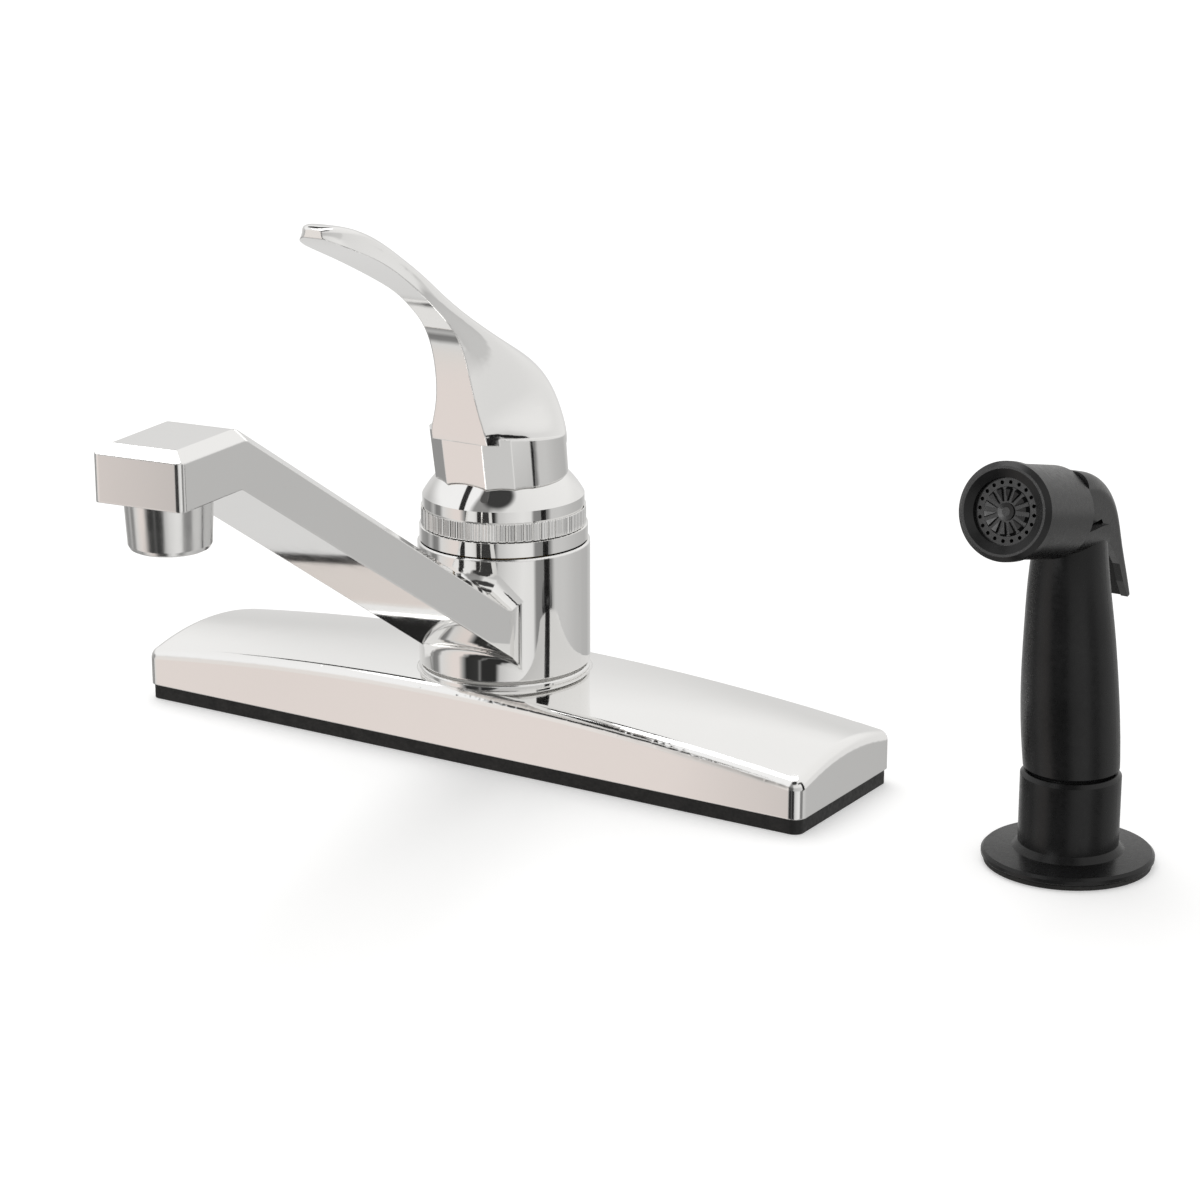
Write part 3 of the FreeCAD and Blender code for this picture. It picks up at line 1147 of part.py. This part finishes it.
def is_trigger_corner(edge):
    """Long outer edges between the trigger's back and its sides."""
    first, last = trigger_line()[0], trigger_line()[-1]
    ends = sorted(vertex.Point.z for vertex in edge.Vertexes)
    return abs(ends[0] - last[1]) < 0.1 and abs(ends[-1] - first[1]) < 0.1


def trigger():
    """Curved cover behind the head, open towards the wand, with a cheek on each side."""
    back = space_behind(TRIGGER_THICKNESS, FACE_AHEAD)
    hollow = trigger_width(TRIGGER_CHEEK).cut(back)
    barrel = swept(head_rod(2 * BARREL_HEAD_RADIUS, 0, BARREL_END + FREE_GAP), -TRIGGER_RANGE)
    pin_holes = pivot_rod(PIVOT_RADIUS + RUNNING_GAP, pin_half())
    return at_sprayer(trigger_block().cut([hollow, pin_holes] + barrel))


def pin_half():
    """Half of the pin's length: it ends inside the trigger's cheeks."""
    return TRIGGER_HALF_WIDTH - TRIGGER_SKIN


def trigger_pin():
    return at_sprayer(pivot_rod(PIVOT_RADIUS, pin_half() - RUNNING_GAP))


PARTS = {
    "deck_plate": deck_plate,
    "base_gasket": base_gasket,
    "stud_anchor_left": lambda: stud_anchor(-1),
    "stud_anchor_right": lambda: stud_anchor(1),
    "valve_body": valve_body,
    "diverter_valve": diverter_valve,
    "spout_seal_lower": lambda: spout_seal(seal_groove_heights()[0]),
    "spout_seal_upper": lambda: spout_seal(seal_groove_heights()[1]),
    "inlet_fitting_left": lambda: fitting(FITTING_RADIUS, INLET_BORE_RADIUS, -SEAT_OFFSET, 0),
    "inlet_fitting_right": lambda: fitting(FITTING_RADIUS, INLET_BORE_RADIUS, SEAT_OFFSET, 0),
    "spray_outlet_fitting": lambda: fitting(OUTLET_RADIUS, OUTLET_BORE_RADIUS, 0, -SPRAY_PASSAGE_OFFSET),
    "valve_seat_left": lambda: valve_seat(-1),
    "valve_seat_right": lambda: valve_seat(1),
    "seat_spring_left": lambda: seat_spring(-1),
    "seat_spring_right": lambda: seat_spring(1),
    "valve_ball": valve_ball,
    "ball_packing": ball_packing,
    "cam": cam,
    "trim_ring": trim_ring,
    "glide_washer": glide_washer,
    "spout": lambda: swung(spout()),
    "aerator_housing": lambda: swung(aerator_housing()),
    "aerator_washer": lambda: swung(aerator_washer()),
    "flow_disc": lambda: swung(flow_disc()),
    "aerator_screen": lambda: swung(aerator_screen()),
    "bonnet_cap": bonnet_cap,
    "guide_ring": guide_ring,
    "adjusting_ring": adjusting_ring,
    "handle": handle,
    "handle_set_screw": handle_set_screw,
    "guide_washer": guide_washer,
    "spray_guide": spray_guide,
    "hose_coupling": hose_coupling,
    "coupling_washer": coupling_washer,
    "snap_ring": snap_ring,
    "wand_body": wand_body,
    "face_ring": face_ring,
    "spray_nozzle": spray_nozzle,
    "face_seal": face_seal,
    "trigger": trigger,
    "trigger_pin": trigger_pin,
    "plunger": plunger,
    "plunger_spring": plunger_spring,
    "plunger_seal": plunger_seal,
}


def swung(shape):
    """Turn a piece of the spout to its rest place."""
    placed = shape.copy()
    placed.rotate(V(0, 0, 0), UP, SPOUT_REST_ANGLE)
    return placed


def main():
    os.makedirs("parts", exist_ok=True)
    for name, make in PARTS.items():
        make().exportStep("parts/" + name + ".step")


if __name__ == "__main__":
    main()
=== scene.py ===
import json
import math

import bpy
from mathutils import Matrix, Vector


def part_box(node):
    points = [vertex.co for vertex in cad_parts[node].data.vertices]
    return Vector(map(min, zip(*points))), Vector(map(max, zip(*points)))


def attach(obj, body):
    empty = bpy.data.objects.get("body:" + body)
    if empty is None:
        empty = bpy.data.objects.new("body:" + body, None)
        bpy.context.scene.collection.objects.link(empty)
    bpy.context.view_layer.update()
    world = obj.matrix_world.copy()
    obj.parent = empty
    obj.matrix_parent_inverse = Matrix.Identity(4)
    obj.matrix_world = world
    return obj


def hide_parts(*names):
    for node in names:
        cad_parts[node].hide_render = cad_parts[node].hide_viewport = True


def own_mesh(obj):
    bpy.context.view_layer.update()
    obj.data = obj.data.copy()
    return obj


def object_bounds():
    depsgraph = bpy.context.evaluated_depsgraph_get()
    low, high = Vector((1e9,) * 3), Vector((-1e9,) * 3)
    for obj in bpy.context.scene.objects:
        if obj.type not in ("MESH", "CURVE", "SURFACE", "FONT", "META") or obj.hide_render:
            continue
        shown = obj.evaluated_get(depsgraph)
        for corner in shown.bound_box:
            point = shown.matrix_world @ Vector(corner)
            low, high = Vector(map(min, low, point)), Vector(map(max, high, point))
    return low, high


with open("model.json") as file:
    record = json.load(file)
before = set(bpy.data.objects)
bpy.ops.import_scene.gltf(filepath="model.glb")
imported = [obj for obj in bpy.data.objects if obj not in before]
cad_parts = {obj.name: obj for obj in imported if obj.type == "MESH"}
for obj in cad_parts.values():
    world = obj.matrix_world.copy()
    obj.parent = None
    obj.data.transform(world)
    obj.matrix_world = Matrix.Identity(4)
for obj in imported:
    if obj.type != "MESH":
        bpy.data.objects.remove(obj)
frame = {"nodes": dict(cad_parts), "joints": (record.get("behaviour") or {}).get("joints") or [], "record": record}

CAD_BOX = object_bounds()

CAMERA_AZIMUTH = math.radians(32.25)
CAMERA_ELEVATION = math.radians(16.55)
CAMERA_DISTANCE = 1.03554
CAMERA_TARGET = Vector((0.03682, 0.0, 0.05304))
CAMERA_LENS = 97.31             # mm, as the sensor's width
SENSOR_WIDTH = 36.0
CAMERA_NEAR = 0.01
CAMERA_FAR = 50.0

WORLD_LEVEL = 0.75              # world light on everything but mirrors
KEY_SUN = dict(from_side=(-0.35, 0.25, 1.0), strength=0.8, spread=38.0)
STRIP_SUN = dict(from_side=(-0.22, -1.0, 0.30), strength=1.1, spread=24.0)

FLOOR_HALF = 3.0
FLOOR_DROP = 0.0002             # floor below the lowest solid
FLOOR_GLOW = 0.34               # added for the camera alone, so the floor comes out white

SPRING_LENGTH = 0.0060
SPRING_RADIUS = 0.0025
SPRING_WIRE = 0.00035           # radius
SPRING_TURNS = 4
SPRING_STEPS = 32               # sections in a turn
SPRING_SIDES = 8                # corners of a section

KNURL_LOW = 0.0740
KNURL_HIGH = 0.0798
KNURL_FADE = 0.0003
KNURL_RIDGES = 180

WHITE = (1.0, 1.0, 1.0)

scene = bpy.context.scene
nodes = frame["nodes"]
BLACK_PARTS = [part["node"] for part in frame["record"]["subparts"]
               if part["material_slot"] == "black_plastic"]


def add_object(name, data):
    made = bpy.data.objects.new(name, data)
    scene.collection.objects.link(made)
    return made


def look_along(made, direction):
    made.rotation_mode = "QUATERNION"
    made.rotation_quaternion = direction.to_track_quat("-Z", "Y")


def add_camera():
    """The camera at the photograph's viewing angle."""
    level = math.cos(CAMERA_ELEVATION)
    back = Vector((math.sin(CAMERA_AZIMUTH) * level, -math.cos(CAMERA_AZIMUTH) * level,
                   math.sin(CAMERA_ELEVATION)))
    data = bpy.data.cameras.new("camera")
    data.sensor_width = SENSOR_WIDTH
    data.lens = CAMERA_LENS
    data.clip_start = CAMERA_NEAR
    data.clip_end = CAMERA_FAR
    camera = add_object("camera", data)
    camera.location = CAMERA_TARGET + back * CAMERA_DISTANCE
    look_along(camera, -back)
    scene.camera = camera


class NodeTree:
    """Short calls that materials and the world share."""

    def __init__(self, tree):
        self.tree = tree

    def add(self, kind, **values):
        node = self.tree.nodes.new(kind)
        for key, value in values.items():
            setattr(node, key, value)
        return node

    def link(self, a, b):
        self.tree.links.new(a, b)

    def feed(self, socket, value):
        """Set a socket to a number, or link it to another node's output."""
        if isinstance(value, (int, float)):
            socket.default_value = value
        else:
            self.link(value, socket)

    def math(self, operation, *values):
        node = self.add("ShaderNodeMath", operation=operation)
        for socket, value in zip(node.inputs, values):
            self.feed(socket, value)
        return node.outputs[0]

    def map_range(self, value, start, end, low, high, **values):
        node = self.add("ShaderNodeMapRange", **values)
        for name, number in zip(("From Min", "From Max", "To Min", "To Max"),
                                (start, end, low, high)):
            node.inputs[name].default_value = number
        self.link(value, node.inputs["Value"])
        return node.outputs["Result"]

    def ramp(self, value, *stops):
        node = self.add("ShaderNodeValToRGB")
        marks = node.color_ramp.elements
        while len(marks) < len(stops):
            marks.new(0.5)
        for mark, (place, colour) in zip(marks, stops):
            mark.position = place
            mark.color = (*colour, 1.0)
        self.link(value, node.inputs["Fac"])
        return node.outputs["Color"]


class Material(NodeTree):
    """A procedural material."""

    def __init__(self, name):
        self.material = bpy.data.materials.new(name)
        self.material.use_nodes = True
        super().__init__(self.material.node_tree)
        self.shader = self.tree.nodes["Principled BSDF"]
        self.output = self.tree.nodes["Material Output"]
        self.place = self.add("ShaderNodeTexCoord").outputs["Object"]

    def set(self, **values):
        for key, value in values.items():
            self.shader.inputs[key.replace("_", " ")].default_value = value

    def noise(self, scale, detail=3.0, stretch=(1, 1, 1)):
        mapping = self.add("ShaderNodeMapping")
        mapping.inputs["Scale"].default_value = stretch
        self.link(self.place, mapping.inputs["Vector"])
        node = self.add("ShaderNodeTexNoise")
        node.inputs["Scale"].default_value = scale
        node.inputs["Detail"].default_value = detail
        node.inputs["Roughness"].default_value = 0.5
        self.link(mapping.outputs["Vector"], node.inputs["Vector"])
        return node.outputs["Fac"]

    def colour(self, noise, *stops):
        self.link(self.ramp(noise, *stops), self.shader.inputs["Base Color"])

    def roughness(self, noise, low, high):
        self.link(self.map_range(noise, 0.3, 0.7, low, high), self.shader.inputs["Roughness"])

    def bump(self, height, strength, distance, round_edges=0.0):
        node = self.add("ShaderNodeBump")
        if round_edges:
            bevel = self.add("ShaderNodeBevel", samples=6)
            bevel.inputs["Radius"].default_value = round_edges
            self.link(bevel.outputs[0], node.inputs["Normal"])
        node.inputs["Strength"].default_value = strength
        node.inputs["Distance"].default_value = distance
        self.link(height, node.inputs["Height"])
        self.link(node.outputs["Normal"], self.shader.inputs["Normal"])


def plated(name, smooth=0.03, rough=0.06):
    """Chrome plate before its bump."""
    m = Material(name)
    m.set(Metallic=1.0, IOR=1.45)
    m.colour(m.noise(9.0), (0.3, (0.855, 0.85, 0.84)), (0.7, (0.885, 0.88, 0.87)))
    m.roughness(m.noise(160.0, 4.0), smooth, rough)
    return m


def chrome():
    m = plated("chrome")
    m.bump(m.noise(45.0, 1.0), 0.03, 0.0003, round_edges=0.0006)
    return m.material


def satin_chrome():
    """The aerator's housing, duller than the castings, so that its front spreads the light."""
    m = plated("satin_chrome", 0.16, 0.24)
    m.bump(m.noise(400.0, 3.0, stretch=(1, 1, 0.1)), 0.10, 0.0002, round_edges=0.0004)
    return m.material


def knurled_chrome(middle):
    """The bonnet cap: fine upright ridges round its grooved band, smooth elsewhere."""
    m = plated("knurled_chrome")
    parts = m.add("ShaderNodeSeparateXYZ")
    m.link(m.place, parts.inputs[0])
    x, y, height = parts.outputs
    across = m.math("SUBTRACT", x, middle.x)
    along = m.math("SUBTRACT", y, middle.y)
    turn = m.math("MULTIPLY", m.math("ARCTAN2", along, across), KNURL_RIDGES)
    ridges = m.map_range(m.math("SINE", turn), -1.0, 1.0, 0.0, 1.0)
    above = m.map_range(height, KNURL_LOW, KNURL_LOW + KNURL_FADE, 0.0, 1.0)
    below = m.map_range(height, KNURL_HIGH - KNURL_FADE, KNURL_HIGH, 1.0, 0.0)
    inside = m.math("MULTIPLY", above, below)
    m.bump(m.math("MULTIPLY", ridges, inside), 0.75, 0.00022)
    return m.material


def rubber():
    m = Material("black_rubber")
    m.colour(m.noise(220.0, 4.0), (0.3, (0.008, 0.008, 0.008)), (0.7, (0.019, 0.018, 0.017)))
    m.roughness(m.noise(900.0, 4.0), 0.5, 0.72)
    m.bump(m.noise(1500.0, 3.0), 0.25, 0.0002)
    return m.material


def black_plastic():
    m = Material("black_plastic")
    m.colour(m.noise(60.0, 3.0), (0.3, (0.005, 0.005, 0.0052)), (0.7, (0.009, 0.009, 0.0093)))
    m.set(Specular_IOR_Level=0.3)
    m.roughness(m.noise(700.0, 3.0), 0.24, 0.34)
    m.bump(m.noise(2600.0, 2.0), 0.06, 0.0001)
    return m.material


def white_plastic():
    m = Material("white_plastic")
    m.colour(m.noise(80.0), (0.3, (0.74, 0.73, 0.70)), (0.7, (0.80, 0.79, 0.77)))
    m.roughness(m.noise(500.0), 0.35, 0.5)
    m.bump(m.noise(900.0), 0.05, 0.0002)
    return m.material


def brass():
    m = Material("brass")
    m.set(Metallic=1.0)
    m.colour(m.noise(60.0, 5.0), (0.25, (0.52, 0.33, 0.12)), (0.75, (0.70, 0.49, 0.22)))
    m.roughness(m.noise(400.0, 4.0), 0.22, 0.42)
    m.bump(m.noise(300.0, 4.0), 0.12, 0.0003)
    return m.material


def steel():
    m = Material("steel")
    m.set(Metallic=1.0)
    m.colour(m.noise(90.0, 4.0, stretch=(1, 1, 8)),
             (0.3, (0.46, 0.455, 0.45)), (0.7, (0.60, 0.595, 0.585)))
    m.roughness(m.noise(600.0), 0.2, 0.35)
    m.bump(m.noise(700.0, 3.0, stretch=(1, 1, 10)), 0.08, 0.0002)
    return m.material


FINISHES = {
    "chrome": chrome(),
    "black_rubber": rubber(),
    "black_plastic": black_plastic(),
    "white_plastic": white_plastic(),
    "brass": brass(),
    "steel": steel(),
}
SPECIAL_FINISHES = {
    "aerator_housing": satin_chrome(),
    "bonnet_cap": knurled_chrome(sum(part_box("bonnet_cap"), Vector()) / 2),
}


def dress_nodes():
    """Every CAD node gets its slot's procedural finish, or a finish of its own."""
    for part in frame["record"]["subparts"]:
        mesh = nodes[part["node"]].data
        finish = SPECIAL_FINISHES.get(part["node"], FINISHES[part["material_slot"]])
        mesh.materials.clear()
        mesh.materials.append(finish)


def coil_mesh(name, middle, axis):
    """A closed tube wound round an axis."""
    out = axis.orthogonal().normalized()
    side = axis.cross(out)
    length = SPRING_LENGTH - 2 * SPRING_WIRE
    last = SPRING_TURNS * SPRING_STEPS
    points, faces = [], []
    for step in range(last + 1):
        turn = 2 * math.pi * step / SPRING_STEPS
        away = out * math.cos(turn) + side * math.sin(turn)
        centre = middle + axis * (length * (step / last - 0.5)) + away * SPRING_RADIUS
        for corner in range(SPRING_SIDES):
            angle = 2 * math.pi * corner / SPRING_SIDES
            points.append(centre + (away * math.cos(angle) + axis * math.sin(angle)) * SPRING_WIRE)
    for step in range(last):
        for corner in range(SPRING_SIDES):
            here = step * SPRING_SIDES + corner
            beside = step * SPRING_SIDES + (corner + 1) % SPRING_SIDES
            faces.append((here, here + SPRING_SIDES, beside + SPRING_SIDES, beside))
    end = last * SPRING_SIDES
    faces.append(tuple(range(SPRING_SIDES - 1, -1, -1)))
    faces.append(tuple(range(end, end + SPRING_SIDES)))
    mesh = bpy.data.meshes.new(name)
    mesh.from_pydata(points, [], faces)
    mesh.shade_smooth()
    mesh.update()
    return mesh


def add_plunger_spring():
    """The wound spring under the plunger's button, set on the wand body."""
    joint = next(joint for joint in frame["joints"] if joint["name"] == "plunger_push")
    axis = Vector(joint["axis"]).normalized()
    middle = sum(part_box("plunger_spring"), Vector()) / 2
    coil = add_object("plunger_spring_coil", coil_mesh("plunger_spring_coil", middle, axis))
    coil.data.materials.append(FINISHES["steel"])
    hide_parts("plunger_spring")
    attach(coil, "wand")
    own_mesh(coil)


def floor_material():
    """Pale floor that keeps the shadow; a mirror sees the surroundings through it."""
    m = Material("floor")
    m.colour(m.noise(3.0), (0.3, (0.795, 0.795, 0.795)), (0.7, (0.80, 0.80, 0.80)))
    m.set(Roughness=0.9, Specular_IOR_Level=0.0)
    path = m.add("ShaderNodeLightPath")
    glow = m.add("ShaderNodeEmission")
    glow.inputs["Strength"].default_value = FLOOR_GLOW
    clear = m.add("ShaderNodeBsdfTransparent")
    both = m.add("ShaderNodeAddShader")
    seen = m.add("ShaderNodeMixShader")
    final = m.add("ShaderNodeMixShader")
    m.link(m.shader.outputs[0], both.inputs[0])
    m.link(glow.outputs[0], both.inputs[1])
    m.link(path.outputs["Is Camera Ray"], seen.inputs[0])
    m.link(m.shader.outputs[0], seen.inputs[1])
    m.link(both.outputs[0], seen.inputs[2])
    m.link(path.outputs["Is Glossy Ray"], final.inputs[0])
    m.link(seen.outputs[0], final.inputs[1])
    m.link(clear.outputs[0], final.inputs[2])
    m.link(final.outputs[0], m.output.inputs["Surface"])
    return m.material


def add_floor():
    corners = [(x * FLOOR_HALF, y * FLOOR_HALF, 0) for x, y in ((-1, -1), (1, -1), (1, 1), (-1, 1))]
    mesh = bpy.data.meshes.new("floor")
    mesh.from_pydata(corners, [], [(0, 1, 2, 3)])
    mesh.materials.append(floor_material())
    floor = add_object("floor", mesh)
    floor.location.z = CAD_BOX[0].z - FLOOR_DROP


def grey(value):
    """A slightly warm grey."""
    return (value, value * 0.995, value * 0.985)


# What the chrome mirrors: (degrees from the front, colour), in three rows by height.
# Places and levels were read from the photograph's reflections and adjusted.
BEIGE = (0.84, 0.765, 0.73)
LOW_ROW = [
    (-180, grey(0.50)), (-160, grey(0.62)), (-148, grey(0.72)), (-128, grey(0.72)),
    (-112, grey(0.35)), (-94, grey(0.28)), (-84, grey(0.52)), (-76, grey(0.22)),
    (-68, grey(0.25)), (-61, grey(0.76)), (-48, (0.80, 0.76, 0.73)), (-40, BEIGE),
    (-31, BEIGE), (-24, grey(0.33)), (-19, grey(0.03)), (-3, grey(0.04)), (0, grey(0.20)),
    (3, grey(0.03)), (21, grey(0.03)), (27, grey(0.60)), (40, grey(0.74)), (60, grey(0.86)),
    (73, grey(0.82)), (77, grey(0.26)), (99, grey(0.22)), (105, grey(0.62)),
    (120, grey(0.62)), (145, grey(0.54)), (165, grey(0.50)), (180, grey(0.48)),
]
MID_ROW = [
    (-180, grey(0.86)), (-158, grey(0.74)), (-140, grey(0.72)), (-120, grey(0.70)),
    (-100, grey(0.55)), (-80, grey(0.42)), (-62, grey(0.30)), (-48, grey(0.80)),
    (-40, (0.86, 0.82, 0.79)), (-29, (0.88, 0.84, 0.81)), (-21, grey(0.10)),
    (12, grey(0.12)), (20, grey(0.55)), (60, grey(0.62)), (88, grey(0.66)),
    (95, grey(0.78)), (180, grey(0.86)),
]
HIGH_ROW = [
    (-180, grey(0.95)), (-60, WHITE), (-24, WHITE), (-16, grey(0.30)), (8, grey(0.30)),
    (18, grey(0.80)), (60, grey(0.85)), (100, grey(0.9)), (180, grey(0.95)),
]
OVERHEAD = grey(0.86)
# Dark patches: direction, cosines of the rim's outer and inner edge, colour
DARK_PATCHES = [
    ((0.1445, -0.397, 0.906), 0.93, 0.97, grey(0.05)),
    ((-0.552, 0.592, 0.588), 0.986, 0.992, grey(0.02)),
]


class Studio(NodeTree):
    """The world: white to the eye, even for the floor, light panels and dark gaps to a mirror."""

    def __init__(self):
        world = bpy.data.worlds.new("studio")
        scene.world = world
        world.use_nodes = True
        super().__init__(world.node_tree)
        self.direction = self.add("ShaderNodeTexCoord").outputs["Generated"]
        parts = self.add("ShaderNodeSeparateXYZ")
        self.link(self.direction, parts.inputs[0])
        self.x, self.y, self.z = parts.outputs

    def step(self, value, start, end, low=0.0, high=1.0):
        return self.map_range(value, start, end, low, high, interpolation_type="SMOOTHSTEP")

    def row(self, around, stops):
        """Colours by azimuth, with around running from 0 to 1 over the full turn."""
        return self.ramp(around, *((place / 360.0 + 0.5, colour) for place, colour in stops))

    def towards(self, direction):
        """Cosine of the angle to a fixed direction."""
        node = self.add("ShaderNodeVectorMath", operation="DOT_PRODUCT")
        node.inputs[1].default_value = direction
        self.link(self.direction, node.inputs[0])
        return node.outputs["Value"]

    def mix(self, share, first, second):
        node = self.add("ShaderNodeMix", data_type="RGBA")
        self.link(share, node.inputs[0])
        for socket, value in zip(node.inputs[6:8], (first, second)):
            if isinstance(value, tuple):
                socket.default_value = (*value, 1.0)
            else:
                self.link(value, socket)
        return node.outputs[2]


def dark_gap(s):
    """Share of a dark upright gap between two light panels on the left."""
    gap = s.math("MULTIPLY", s.step(s.x, -0.53, -0.515), s.step(s.x, -0.415, -0.40, 1.0, 0.0))
    gap = s.math("MULTIPLY", gap, s.step(s.z, 0.25, 0.4))
    return s.math("MULTIPLY", gap, s.step(s.y, 0.60, 0.68, 1.0, 0.0))


def surroundings(s):
    """What a mirror sees."""
    turn = s.math("ARCTAN2", s.x, s.math("MULTIPLY", s.y, -1.0))
    around = s.math("MULTIPLY_ADD", turn, 0.5 / math.pi, 0.5)
    low, middle, high = (s.row(around, stops) for stops in (LOW_ROW, MID_ROW, HIGH_ROW))
    seen = s.mix(s.step(s.z, -0.24, -0.15), low, middle)
    seen = s.mix(s.step(s.z, 0.15, 0.45), seen, high)
    seen = s.mix(s.step(s.z, 0.93, 0.975), seen, OVERHEAD)
    for direction, outer, inner, colour in DARK_PATCHES:
        seen = s.mix(s.step(s.towards(direction), outer, inner), seen, colour)
    return s.mix(dark_gap(s), seen, grey(0.03))


def add_world():
    s = Studio()
    mirror = surroundings(s)
    path = s.add("ShaderNodeLightPath")
    plain = s.mix(path.outputs["Is Camera Ray"], grey(WORLD_LEVEL), WHITE)
    background = s.tree.nodes["Background"]
    s.link(s.mix(path.outputs["Is Glossy Ray"], plain, mirror), background.inputs["Color"])
    background.inputs["Strength"].default_value = 1.0


def add_sun(name, from_side, strength, spread, only_on=()):
    """A soft lamp; with only_on, it lights those nodes alone."""
    data = bpy.data.lights.new(name, "SUN")
    data.energy = strength
    data.angle = math.radians(spread)
    lamp = add_object(name, data)
    look_along(lamp, -Vector(from_side))
    if only_on:
        lit = bpy.data.collections.new(name + "_on")
        for node in only_on:
            lit.objects.link(nodes[node])
        lamp.light_linking.receiver_collection = lit


dress_nodes()
add_plunger_spring()
add_camera()
add_floor()
add_world()
add_sun("key", **KEY_SUN)
add_sun("strip", **STRIP_SUN, only_on=BLACK_PARTS)

scene.view_settings.view_transform = "Standard"
